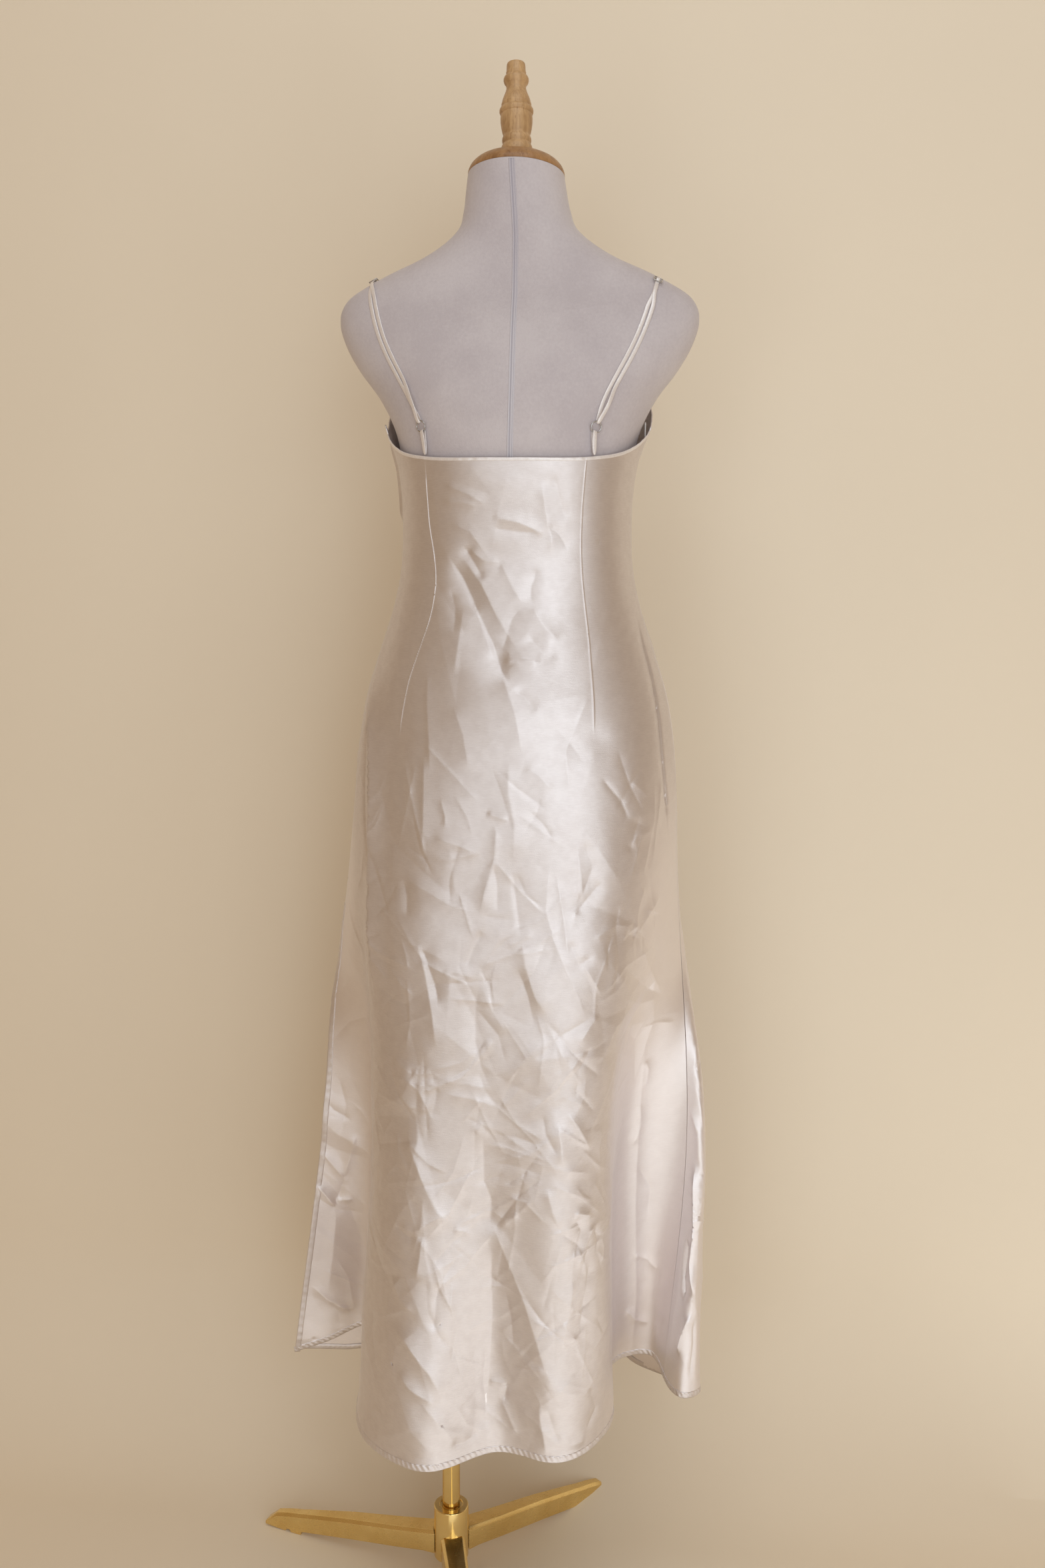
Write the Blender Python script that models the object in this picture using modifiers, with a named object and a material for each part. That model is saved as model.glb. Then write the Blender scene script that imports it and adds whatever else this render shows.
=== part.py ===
"""Satin slip dress on a limbless dress form with a three-legged stand.

Units are metres, +Z is up. The wearer's left is +X and the front faces -Y. The garment and the
form are modelled about the form's own mid-plane, and an empty then places the whole object so
that its bounding box stands centred on the origin. The soles lie at SOLE in the tables below.
"""

import math

import bmesh
import bpy
import numpy as np
from mathutils import Matrix, Vector

# ---------------------------------------------------------------- driving dimensions
PLACE = (-0.0521, -0.0341, -0.0095)  # the form's middle from the box's middle, and soles to the floor

GAP = 0.0003  # clearance between pieces that touch
CLOTH = 0.0012  # wall of the satin panels
HEM_HEIGHT = 0.280  # level of the back hem above the floor
SLIT_TOP = 0.900  # where the left side seam ends and the slit begins
SEAM_TURN = 0.080  # height over which the slit edges let go of each other
HIP_HEIGHT = 1.080
RIBS_HEIGHT = 1.310
STATIONS = (0.900, 0.600, 0.280)  # heights of the plan points in the panel tables
BACK_COLUMNS = 3  # mesh columns between two plan points
FRONT_COLUMNS = 2
UPPER_ROWS = 14  # mesh rows of a panel above the slit's top, and below it
LOWER_ROWS = 17
ROUNDNESS = 0.93  # 1 is an ellipse, less is squarer

STRAP_WIDTH = 0.0046
STRAP_THICK = 0.0010
STRAP_LIFT = 0.0004  # strap's underside above the form
STRAP_PEAK = 48  # where a strap meets the front neckline, in degrees from the side
PEAK_HEIGHT = 1.458
LEFT_STRAP_SPREAD = 1.0
RIGHT_STRAP_SPREAD = 0.965
LEFT_SLIDER = 0.0  # how far beyond the shoulder's ridge the slider sits
RIGHT_SLIDER = -0.026
RING_RADIUS = 0.0060  # middle of the ring's wire
RING_WIRE = 0.0008  # half the wire's thickness
RING_SLACK = 0.0009  # between the wire's middle and the flat bands looped round it
SLIDER_WIDTH = 0.0100
SLIDER_HEIGHT = 0.0090  # between the outer bars
SLIDER_BAR = 0.0005  # half a bar's thickness
TAB_WIDTH = 0.0050
TAB_THICK = 0.0010
TAB_ANGLE = 49.5
TAB_CLEAR = 0.0007  # above the top edge where the tab is sewn on

ZIP_TOP = 1.404
ZIP_BOTTOM = 1.060
ZIP_TAPE_WIDTH = 0.018
ZIP_TAPE_THICK = 0.0010
ZIP_TAPE_GAP = 0.0011  # from the cloth's inside
PULL_HEIGHT = 0.016
PULL_WIDTH = 0.0050
PULL_THICK = 0.0014
PULL_LIFT = 0.0008  # above the tape
PULL_GAP = 0.0009  # from the plane of the cloth's outside

TORSO_BOTTOM = 0.930
TORSO_SEGMENTS = 32
SHOULDER_CENTRE = 1.455
PLATE_THICK = 0.012
NECK_ROOT = 1.600
NECK_TOP = 1.6795
NECK_TILT = math.radians(11.0)
FINIAL_LEAN = math.radians(2.0)  # the finial stands a little to the wearer's left
NECK_CENTRE = (0.004, -0.012)
CAP_HEIGHT = 0.0205

SOLE = 0.0095
POLE_AXIS = (0.076, 0.012)
POLE_RADIUS = 0.011
HUB_RADIUS = 0.0215
HUB_TOP = 0.1032
HUB_BOTTOM = 0.034
HUB_BORE_DEPTH = 0.040
HUB_GROOVE = 0.0015
FLANGE_RADIUS = 0.034
FLANGE_THICK = 0.004
SLEEVE_RADIUS = 0.0155
SLEEVE_LENGTH = 0.030
BACK_LEG_ANGLE = 105.4  # degrees from +X

# ---------------------------------------------------------------- tables
# Outside of the cloth above the hips: height, half width, depth at the back and at the front.
BODICE = (
    # z, half_width, back, front
    (1.470, 0.1600, 0.0960, 0.0900),
    (1.440, 0.1530, 0.0995, 0.1120),
    (1.410, 0.1455, 0.1010, 0.1290),
    (1.380, 0.1345, 0.1000, 0.1360),
    (1.345, 0.1288, 0.0960, 0.1320),
    (1.310, 0.1275, 0.0910, 0.1230),
    (1.260, 0.1300, 0.0880, 0.1150),
    (1.220, 0.1385, 0.0905, 0.1110),
    (1.170, 0.1550, 0.1010, 0.1100),
    (1.120, 0.1710, 0.1140, 0.1120),
    (1.070, 0.1800, 0.1240, 0.1150),
    (1.020, 0.1850, 0.1310, 0.1190),
)

# Height of the neckline by the angle from the side seam towards the middle, in degrees.
BACK_NECKLINE = ((0, 1.411), (14, 1.397), (30, 1.386), (50, 1.380), (90, 1.378))
FRONT_NECKLINE = ((0, 1.411), (18, 1.438), (34, 1.452), (48, 1.458), (62, 1.436), (76, 1.411), (90, 1.402))

# Plan points of the cloth: name, angle at the ribs and at the hips (degrees from the wearer's
# left, the back being 90), then x and y at each of the three stations, and the hem's height.
BACK_FOLDS = (
    # name, ribs, hips, slit x, y, knee x, y, hem x, y, hem height
    ("left seam", 4, 20, 0.1985, 0.000, 0.2345, -0.012, 0.2820, -0.021, 0.280),
    ("left flap", 17, 25, 0.1830, 0.040, 0.2000, -0.010, 0.2370, -0.037, 0.289),
    ("left valley", 28, 30, 0.1700, 0.062, 0.1700, 0.000, 0.1970, -0.058, 0.301),
    ("left wall", 37, 35, 0.1610, 0.078, 0.1570, 0.045, 0.1780, 0.030, 0.298),
    ("left fold", 46, 41, 0.1480, 0.098, 0.1485, 0.108, 0.1630, 0.135, 0.278),
    ("left lobe", 64, 62, 0.0880, 0.131, 0.0800, 0.158, 0.0750, 0.203, 0.276),
    ("centre back", 90, 90, 0.0000, 0.139, 0.0020, 0.152, 0.0000, 0.160, 0.278),
    ("right lobe", 116, 117, -0.0800, 0.132, -0.0700, 0.158, -0.0680, 0.176, 0.280),
    ("right fold", 134, 136, -0.1280, 0.106, -0.1155, 0.112, -0.1240, 0.108, 0.280),
    ("right wall", 145, 146, -0.1480, 0.084, -0.1220, 0.065, -0.1200, 0.030, 0.280),
    ("right valley", 156, 155, -0.1660, 0.055, -0.1320, 0.015, -0.1240, -0.040, 0.280),
    ("right flap", 169, 164, -0.1810, 0.022, -0.1680, -0.012, -0.1650, -0.060, 0.280),
    ("right seam", 182, 173, -0.1872, -0.012, -0.2050, -0.012, -0.1840, -0.028, 0.270),
)
FRONT_FOLDS = (
    ("right lobe", 195, 190, -0.1880, -0.034, -0.2230, -0.006, -0.2070, 0.016, 0.271),
    ("right outer edge", 208, 204, -0.1740, -0.064, -0.2220, -0.045, -0.2280, -0.012, 0.264),
    ("right return", 222, 219, -0.1430, -0.090, -0.1880, -0.098, -0.1900, -0.082, 0.240),
    ("right pocket", 238, 236, -0.1030, -0.110, -0.1400, -0.136, -0.1400, -0.124, 0.235),
    ("right front", 255, 254, -0.0500, -0.125, -0.0750, -0.158, -0.0850, -0.188, 0.236),
    ("centre front", 272, 271, 0.0050, -0.128, 0.0000, -0.146, 0.0000, -0.168, 0.238),
    ("left front", 289, 289, 0.0600, -0.122, 0.0700, -0.160, 0.0800, -0.196, 0.240),
    ("left front fold", 306, 307, 0.1120, -0.105, 0.1300, -0.140, 0.1560, -0.170, 0.244),
    ("left return", 322, 325, 0.1500, -0.080, 0.1620, -0.092, 0.1760, -0.104, 0.250),
    ("left under flap", 338, 343, 0.1760, -0.048, 0.1930, -0.046, 0.2200, -0.066, 0.258),
    ("left under edge", 351, 361, 0.1900, -0.022, 0.2150, -0.030, 0.2480, -0.050, 0.266),
)
FRONT_EDGE_SHIFT = (-0.0070, -0.0150)  # front slit edge from the back one, at the hem
FRONT_EDGE_HEM = 0.272

# A strap's line round the shoulder: angle from the back over the top, and distance from the middle.
STRAP_ANGLES = ((-27, 0.0956), (0, 0.1130), (21, 0.1277), (50, 0.1450), (90, 0.1580), (115, 0.1500), (140, 0.1280))

# Jersey body of the form: height, half width, depth at the back and at the front.
TORSO = (
    # z, half_width, back, front
    (0.930, 0.1600, 0.1000, 0.0950),
    (0.980, 0.1660, 0.1090, 0.0980),
    (1.030, 0.1680, 0.1130, 0.0990),
    (1.080, 0.1610, 0.1080, 0.0970),
    (1.140, 0.1420, 0.0880, 0.0930),
    (1.200, 0.1220, 0.0690, 0.0900),
    (1.250, 0.1160, 0.0660, 0.0920),
    (1.310, 0.1190, 0.0780, 0.0990),
    (1.370, 0.1270, 0.0930, 0.1060),
    (1.410, 0.1350, 0.0965, 0.1010),
    (1.445, 0.1525, 0.0960, 0.0900),
    (1.475, 0.1750, 0.0900, 0.0780),
    (1.503, 0.1905, 0.0810, 0.0670),
    (1.525, 0.1965, 0.0710, 0.0580),
    (1.540, 0.1945, 0.0630, 0.0520),
    (1.553, 0.1850, 0.0570, 0.0470),
    (1.566, 0.1640, 0.0530, 0.0430),
    (1.578, 0.1400, 0.0500, 0.0410),
    (1.592, 0.1080, 0.0480, 0.0410),
    (1.606, 0.0840, 0.0460, 0.0440),
    (1.622, 0.0655, 0.0480, 0.0470),
    (1.643, 0.0580, 0.0500, 0.0500),
    (1.663, 0.0548, 0.0515, 0.0520),
    (1.6795, 0.0525, 0.0525, 0.0525),
)
BUST_POINT = (0.074, 1.385)
BUST_RISE = 0.020
BUST_SPREAD = 0.042

# Turned profiles: radius and height above the foot.
FINIAL_PROFILE = (
    (0.0175, 0.0000),
    (0.0175, 0.0058),
    (0.0168, 0.0106),
    (0.0149, 0.0134),
    (0.0157, 0.0181),
    (0.0145, 0.0232),
    (0.0159, 0.0284),
    (0.0170, 0.0357),
    (0.0174, 0.0409),
    (0.0172, 0.0454),
    (0.0186, 0.0507),
    (0.0166, 0.0553),
    (0.0164, 0.0585),
    (0.0151, 0.0626),
    (0.0131, 0.0668),
    (0.0116, 0.0720),
    (0.0109, 0.0772),
    (0.0109, 0.0787),
    (0.0138, 0.0860),
    (0.0124, 0.0912),
    (0.0102, 0.0952),
    (0.0100, 0.1004),
    (0.0094, 0.1025),
)
CAP_PROFILE = (
    (0.0520, 0.0000),
    (0.0525, 0.0020),
    (0.0514, 0.0058),
    (0.0487, 0.0102),
    (0.0445, 0.0140),
    (0.0382, 0.0172),
    (0.0300, 0.0196),
    (0.0220, 0.0205),
)

# One leg, seen from its side: distance from the axis, underside, top and width.
LEG_SECTIONS = (
    # r, underside, top, width
    (0.0221, 0.0395, 0.0700, 0.0300),
    (0.0330, 0.0390, 0.0670, 0.0290),
    (0.0700, 0.0335, 0.0610, 0.0270),
    (0.1400, 0.0245, 0.0510, 0.0230),
    (0.2040, 0.0150, 0.0395, 0.0180),
    (0.2090, 0.0142, 0.0385, 0.0176),
    (0.2105, SOLE, 0.0380, 0.0174),
    (0.2250, SOLE, 0.0358, 0.0168),
    (0.2270, 0.0130, 0.0355, 0.0166),
    (0.2305, 0.0128, 0.0348, 0.0164),
    (0.2335, 0.0097, 0.0342, 0.0162),
    (0.2470, 0.0105, 0.0310, 0.0155),
    (0.2631, 0.0120, 0.0165, 0.0148),
)

FINISHES = {
    # name: (red, green, blue), roughness, metallic
    "satin": ((0.75, 0.66, 0.60), 0.34, 0.0),
    "jersey": ((0.46, 0.42, 0.42), 0.9, 0.0),
    "wood": ((0.55, 0.33, 0.15), 0.45, 0.0),
    "brass": ((0.62, 0.46, 0.18), 0.25, 1.0),
    "silver": ((0.72, 0.72, 0.72), 0.22, 1.0),
    "pale enamel": ((0.80, 0.78, 0.74), 0.4, 0.0),
    "cotton": ((0.78, 0.72, 0.66), 0.8, 0.0),
}


# ---------------------------------------------------------------- curves and tables
def column(table, index):
    return np.array([row[index] for row in table], float)


def smooth(at, keys, values):
    """Value at a key on a smooth curve through the table, whatever order its keys run in."""
    keys = np.asarray(keys, float)
    values = np.asarray(values, float)
    if keys[0] > keys[-1]:
        keys = keys[::-1]
        values = values[::-1]
    slopes = np.gradient(values, keys, axis=0)
    at = float(np.clip(at, keys[0], keys[-1]))
    i = int(np.clip(np.searchsorted(keys, at) - 1, 0, len(keys) - 2))
    span = keys[i + 1] - keys[i]
    t = (at - keys[i]) / span
    a = (1 + 2 * t) * (1 - t) ** 2
    b = t * (1 - t) ** 2 * span
    c = t * t * (3 - 2 * t)
    d = t * t * (t - 1) * span
    return a * values[i] + b * slopes[i] + c * values[i + 1] + d * slopes[i + 1]


def ease(t):
    t = min(max(t, 0.0), 1.0)
    return t * t * (3 - 2 * t)


def round_section(half_width, back, front, degrees, roundness=ROUNDNESS):
    """Point of a squared ellipse whose depth differs from back to front."""
    angle = math.radians(degrees)
    c = math.cos(angle)
    s = math.sin(angle)
    depth = back if s > 0 else front
    x = half_width * math.copysign(abs(c) ** roundness, c)
    y = depth * math.copysign(abs(s) ** roundness, s)
    return np.array([x, y])


def clamped_spline(points, start, end):
    """Second derivatives and knots of a cubic through the points with these end slopes."""
    points = np.asarray(points, float)
    steps = np.sqrt(np.linalg.norm(np.diff(points, axis=0), axis=1))
    count = len(points)
    matrix = np.zeros((count, count))
    right = np.zeros((count, 2))
    matrix[0, :2] = (2 * steps[0], steps[0])
    right[0] = 6 * ((points[1] - points[0]) / steps[0] - start)
    matrix[-1, -2:] = (steps[-1], 2 * steps[-1])
    right[-1] = 6 * (end - (points[-1] - points[-2]) / steps[-1])
    for i in range(1, count - 1):
        matrix[i, i - 1 : i + 2] = (steps[i - 1], 2 * (steps[i - 1] + steps[i]), steps[i])
        right[i] = 6 * ((points[i + 1] - points[i]) / steps[i] - (points[i] - points[i - 1]) / steps[i - 1])
    return steps, np.linalg.solve(matrix, right)


def on_spline(points, steps, bends, at):
    """Point of the cubic at a place counted in plan points."""
    i = int(min(max(math.floor(at), 0), len(points) - 2))
    t = (at - i) * steps[i]
    u = steps[i] - t
    h = steps[i]
    return (
        bends[i] * u**3 / (6 * h)
        + bends[i + 1] * t**3 / (6 * h)
        + (points[i] / h - bends[i] * h / 6) * u
        + (points[i + 1] / h - bends[i + 1] * h / 6) * t
    )


# ---------------------------------------------------------------- the cloth
def bodice_point(degrees, z):
    keys = column(BODICE, 0)
    sizes = [smooth(z, keys, column(BODICE, i)) for i in (1, 2, 3)]
    return round_section(*sizes, degrees)


def fold_path(fold, z):
    """Where one plan point stands at this height."""
    _, ribs, hips, *places = fold
    stations = [np.array(places[i : i + 2]) for i in (0, 2, 4)]
    turn = ease((RIBS_HEIGHT - z) / (RIBS_HEIGHT - HIP_HEIGHT))
    degrees = ribs + (hips - ribs) * turn
    if z >= HIP_HEIGHT:
        return bodice_point(degrees, z)
    at_hip = bodice_point(hips, HIP_HEIGHT)
    above = bodice_point(hips, HIP_HEIGHT + 0.02)
    keys = [HIP_HEIGHT + 0.02, HIP_HEIGHT, *STATIONS]
    values = [above, at_hip, *stations]
    if z < STATIONS[-1]:
        fall = (stations[2] - stations[1]) / (STATIONS[2] - STATIONS[1])
        return stations[2] + fall * (z - STATIONS[2])
    return smooth(z, keys, values)


def front_edge(z):
    """The front's slit edge, which follows the side seam down to the slit and then parts from it."""
    opening = max(0.0, (SLIT_TOP - z) / (SLIT_TOP - HEM_HEIGHT))
    return fold_path(BACK_FOLDS[0], z) + opening * np.array(FRONT_EDGE_SHIFT)


def cloth_plan(z):
    """The whole garment's plan at one height, from the back's slit edge round to the front's."""
    points = [fold_path(fold, z) for fold in BACK_FOLDS + FRONT_FOLDS]
    points.append(front_edge(z))
    points = np.array(points)
    closed = 1 - ease((SLIT_TOP + SEAM_TURN / 2 - z) / SEAM_TURN)

    def slope(before, after):
        step = after - before
        return step / math.sqrt(np.linalg.norm(step))

    across = slope(points[-2], points[1]) * 0.75
    start = across * closed + slope(points[0], points[1]) * (1 - closed)
    end = across * closed + slope(points[-2], points[-1]) * (1 - closed)
    steps, bends = clamped_spline(points, start, end)
    return points, steps, bends


def neckline(table, degrees):
    from_side = min(abs(degrees % 180), 180 - abs(degrees % 180))
    return float(smooth(from_side, column(table, 0), column(table, 1)))


def panel_places(first, last, per_fold):
    """Places of a panel's mesh columns, counted in plan points."""
    return np.linspace(first, last, (last - first) * per_fold + 1)


def panel_grid(first, last, per_fold, neck):
    """Points of a panel, row by row from the neckline to the hem."""
    folds = BACK_FOLDS + FRONT_FOLDS
    ribs = np.append(column(folds, 1), BACK_FOLDS[0][1] + 360)
    hems = np.append(column(folds, 9), FRONT_EDGE_HEM)
    index = np.arange(len(ribs))
    places = panel_places(first, last, per_fold)
    tops = np.array([neckline(neck, np.interp(p, index, ribs)) for p in places])
    bottoms = np.array([smooth(p, index, hems) for p in places])
    heights = np.linspace(1.46, 0.25, 160)
    plans = [cloth_plan(z) for z in heights]
    grid = np.array([[on_spline(*plan, p) for p in places] for plan in plans])
    out = np.zeros((UPPER_ROWS + LOWER_ROWS + 1, len(places), 3))
    for j in range(len(places)):
        upper = np.linspace(tops[j], SLIT_TOP, UPPER_ROWS + 1)
        lower = np.linspace(SLIT_TOP, bottoms[j], LOWER_ROWS + 1)
        z = np.concatenate([upper, lower[1:]])
        out[:, j, 0] = np.interp(-z, -heights, grid[:, j, 0])
        out[:, j, 1] = np.interp(-z, -heights, grid[:, j, 1])
        out[:, j, 2] = z
    return out


def draw_in(one, one_edge, other, other_edge):
    """Draws two panels' edges back from the seam they share, further where the seam is a corner."""
    inner = {0: 1, -1: -2}
    steps = [
        grid[:, inner[edge]] - grid[:, edge] for grid, edge in ((one, one_edge), (other, other_edge))
    ]
    steps = [step / np.linalg.norm(step, axis=1)[:, None] for step in steps]
    turn = np.pi - np.arccos(np.clip(np.sum(steps[0] * steps[1], axis=1), -1, 1))
    room = GAP / 2 + CLOTH * np.tan(np.minimum(turn, math.radians(100)) / 2)
    one[:, one_edge] += steps[0] * room[:, None]
    other[:, other_edge] += steps[1] * room[:, None]


# ---------------------------------------------------------------- the form
def bust_rise(x, z):
    away = ((abs(x) - BUST_POINT[0]) ** 2 + (z - BUST_POINT[1]) ** 2) / BUST_SPREAD**2
    return BUST_RISE * math.exp(-away)


def torso_sizes(z):
    keys = column(TORSO, 0)
    return [float(smooth(z, keys, column(TORSO, i))) for i in (1, 2, 3)]


def torso_point(z, degrees):
    """Point of the body's surface. Towards its top the neck grows round, leans forward and slants."""
    neck = ease((z - NECK_ROOT) / (NECK_TOP - NECK_ROOT))
    roundness = ROUNDNESS + (1 - ROUNDNESS) * min(1.0, neck * 2)
    x, y = round_section(*torso_sizes(z), degrees, roundness)
    if y < 0:
        y -= bust_rise(x, z) * min(1.0, -y / 0.04)
    slant = neck * math.tan(NECK_TILT) * y
    return (x + neck * NECK_CENTRE[0], y + neck * NECK_CENTRE[1], z + slant)


def inside_torso(point):
    """Below 1 inside the jersey body and above 1 outside it."""
    x, y, z = point
    width, back, front = torso_sizes(z)
    depth = back if y > 0 else front + bust_rise(x, z)
    power = 2 / ROUNDNESS
    return abs(x / width) ** power + abs(y / depth) ** power


def on_torso(x, degrees):
    """Point of the shoulder at this x, seen from its middle at this angle, 0 being the back."""
    centre = np.array([x, 0.0, SHOULDER_CENTRE])
    angle = math.radians(degrees)
    ray = np.array([0.0, math.cos(angle), math.sin(angle)])
    near = 0.0
    far = 0.25
    for _ in range(24):
        middle = (near + far) / 2
        if inside_torso(centre + ray * middle) < 1:
            near = middle
        else:
            far = middle
    return centre + ray * near


# ---------------------------------------------------------------- meshes
def new_object(name, mesh, finish, collection, parent):
    obj = bpy.data.objects.new(name, mesh)
    obj.data.materials.append(make_material(name, finish))
    obj.parent = parent
    collection.objects.link(obj)
    return obj


def make_material(name, finish):
    colour, roughness, metallic = FINISHES[finish]
    material = bpy.data.materials.new(name)
    material.use_nodes = True
    shader = material.node_tree.nodes["Principled BSDF"]
    shader.inputs["Base Color"].default_value = (*colour, 1.0)
    shader.inputs["Roughness"].default_value = roughness
    shader.inputs["Metallic"].default_value = metallic
    return material


def grid_mesh(name, grid):
    """An open sheet from rows of points."""
    rows, columns = grid.shape[:2]
    faces = []
    for i in range(rows - 1):
        for j in range(columns - 1):
            a = i * columns + j
            faces.append((a, a + columns, a + columns + 1, a + 1))
    mesh = bpy.data.meshes.new(name)
    mesh.from_pydata(grid.reshape(-1, 3).tolist(), [], faces)
    mesh.shade_smooth()
    return mesh


def loft_mesh(name, sections):
    """A closed solid through rings of an equal, even count, with strips across both ends."""
    count = len(sections[0])
    points = [tuple(map(float, p)) for ring in sections for p in ring]
    faces = []
    for i in range(len(sections) - 1):
        for j in range(count):
            k = (j + 1) % count
            faces.append((i * count + j, i * count + k, (i + 1) * count + k, (i + 1) * count + j))
    last = (len(sections) - 1) * count
    for first in (0, last):
        for j in range(count // 2 - 1):
            k = count - 1 - j
            faces.append((first + j, first + j + 1, first + k - 1, first + k))
    mesh = bpy.data.meshes.new(name)
    mesh.from_pydata(points, [], faces)
    face_outwards(mesh)
    mesh.shade_smooth()
    mesh.set_sharp_from_angle(angle=math.radians(40))
    return mesh


def face_outwards(mesh):
    shape = bmesh.new()
    shape.from_mesh(mesh)
    bmesh.ops.recalc_face_normals(shape, faces=shape.faces)
    shape.to_mesh(mesh)
    shape.free()


def take_mesh(name):
    """The mesh of the primitive just added, without its object."""
    primitive = bpy.context.object
    mesh = primitive.data
    bpy.data.objects.remove(primitive)
    mesh.name = name
    mesh.shade_smooth()
    mesh.set_sharp_from_angle(angle=math.radians(40))
    return mesh


def solidify(obj, thickness):
    modifier = obj.modifiers.new("wall", "SOLIDIFY")
    modifier.thickness = thickness
    modifier.offset = -1
    modifier.use_even_offset = True


def turned(name, profile, finish, collection, parent, steps=24, closed=False):
    """A turned solid. The profile runs down its outer side, or round a whole section of a sleeve."""
    mesh = bpy.data.meshes.new(name)
    points = [(r, 0.0, z) for r, z in profile]
    edges = [(i, i + 1) for i in range(len(points) - 1)]
    if closed:
        edges.append((len(points) - 1, 0))
    mesh.from_pydata(points, edges, [])
    obj = new_object(name, mesh, finish, collection, parent)
    screw = obj.modifiers.new("turn", "SCREW")
    screw.axis = "Z"
    screw.steps = steps
    screw.render_steps = steps
    screw.use_merge_vertices = True
    screw.merge_threshold = 0.00002
    screw.use_smooth_shade = True
    return obj


def swept_band(name, path, normals, width, thick):
    """A flat band along a path, its flat side facing the normals."""
    path = np.asarray(path, float)
    normals = np.asarray(normals, float)
    along = np.gradient(path, axis=0)
    along /= np.linalg.norm(along, axis=1)[:, None]
    across = np.cross(along, normals)
    across /= np.linalg.norm(across, axis=1)[:, None]
    up = np.cross(across, along)
    sections = []
    for p, a, n in zip(path, across, up):
        w = a * width / 2
        t = n * thick / 2
        sections.append([p - w - t, p + w - t, p + w + t, p - w + t])
    return loft_mesh(name, sections)


# ---------------------------------------------------------------- garment pieces
def make_panel(name, grid, collection, parent):
    obj = new_object(name, grid_mesh(name, grid), "satin", collection, parent)
    solidify(obj, CLOTH)
    return obj


class StrapRun:
    """The line a strap follows on the form, from its ring up the back and over to the front."""

    def __init__(self, side, spread):
        angles = np.linspace(STRAP_ANGLES[0][0], STRAP_ANGLES[-1][0], 61)
        keys = column(STRAP_ANGLES, 0)
        offsets = column(STRAP_ANGLES, 1) * spread * side
        points = []
        normals = []
        for degrees in angles:
            x = float(smooth(degrees, keys, offsets))
            here = on_torso(x, degrees)
            ahead = on_torso(x, degrees + 1.5)
            beside = on_torso(x + 0.001, degrees)
            normal = np.cross(ahead - here, beside - here)
            normal /= np.linalg.norm(normal)
            points.append(here)
            normals.append(normal)
        points, normals = self.add_front(side, points, normals)
        self.points = np.array(points)
        self.normals = np.array(normals)
        steps = np.linalg.norm(np.diff(self.points, axis=0), axis=1)
        self.lengths = np.concatenate([[0], np.cumsum(steps)])
        self.ridge = float(np.interp(90, angles, self.lengths[: len(angles)]))

    def add_front(self, side, points, normals):
        """The last stretch leaves the chest for the peak of the front neckline."""
        degrees = -STRAP_PEAK if side > 0 else 180 + STRAP_PEAK
        x, y = bodice_point(degrees, PEAK_HEIGHT)
        end = np.array([x, y + CLOTH / 2, PEAK_HEIGHT + 0.0018])
        start = points[-1]
        outward = np.array([side * 0.35, -0.85, 0.4])
        outward /= np.linalg.norm(outward)
        for t in (0.35, 0.7, 1.0):
            points.append(start + (end - start) * t - normals[-1] * 0.0009 * t)
            mixed = normals[-1] * (1 - t) + outward * t
            normals.append(mixed / np.linalg.norm(mixed))
        return points, normals

    def at(self, length, height, aside):
        """Point and normal at a length from the ring, this high off the form and this far aside."""
        point = np.array([np.interp(length, self.lengths, self.points[:, i]) for i in range(3)])
        normal = np.array([np.interp(length, self.lengths, self.normals[:, i]) for i in range(3)])
        normal /= np.linalg.norm(normal)
        along = self.direction(length)
        across = np.cross(along, normal)
        across /= np.linalg.norm(across)
        return point + normal * height + across * aside, normal

    def direction(self, length):
        step = 0.002
        low = max(0.0, length - step)
        high = min(self.lengths[-1], length + step)
        ends = [
            np.array([np.interp(at, self.lengths, self.points[:, i]) for i in range(3)])
            for at in (low, high)
        ]
        along = ends[1] - ends[0]
        return along / np.linalg.norm(along)


def slider_weave():
    """Height of the strap as it goes under, over and under the slider's three bars."""
    low = STRAP_LIFT + STRAP_THICK / 2
    step = STRAP_THICK + GAP
    clear = SLIDER_BAR + GAP + STRAP_THICK / 2
    bars = (low + step + clear, low + step / 2 + clear, low + clear)
    pitch = SLIDER_HEIGHT / 2
    over = bars[1] + clear
    weave = (
        (-pitch * 3.0, low + step),
        (-pitch, low + step),
        (-pitch * 0.80, low + step + 0.0002),
        (-pitch * 0.50, bars[1] + 0.0005),
        (-pitch * 0.20, over - 0.0002),
        (0.0, over),
        (pitch * 0.20, over - 0.0003),
        (pitch * 0.50, bars[1]),
        (pitch * 0.80, low + 0.0003),
        (pitch, low),
    )
    return weave, bars, pitch


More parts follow.
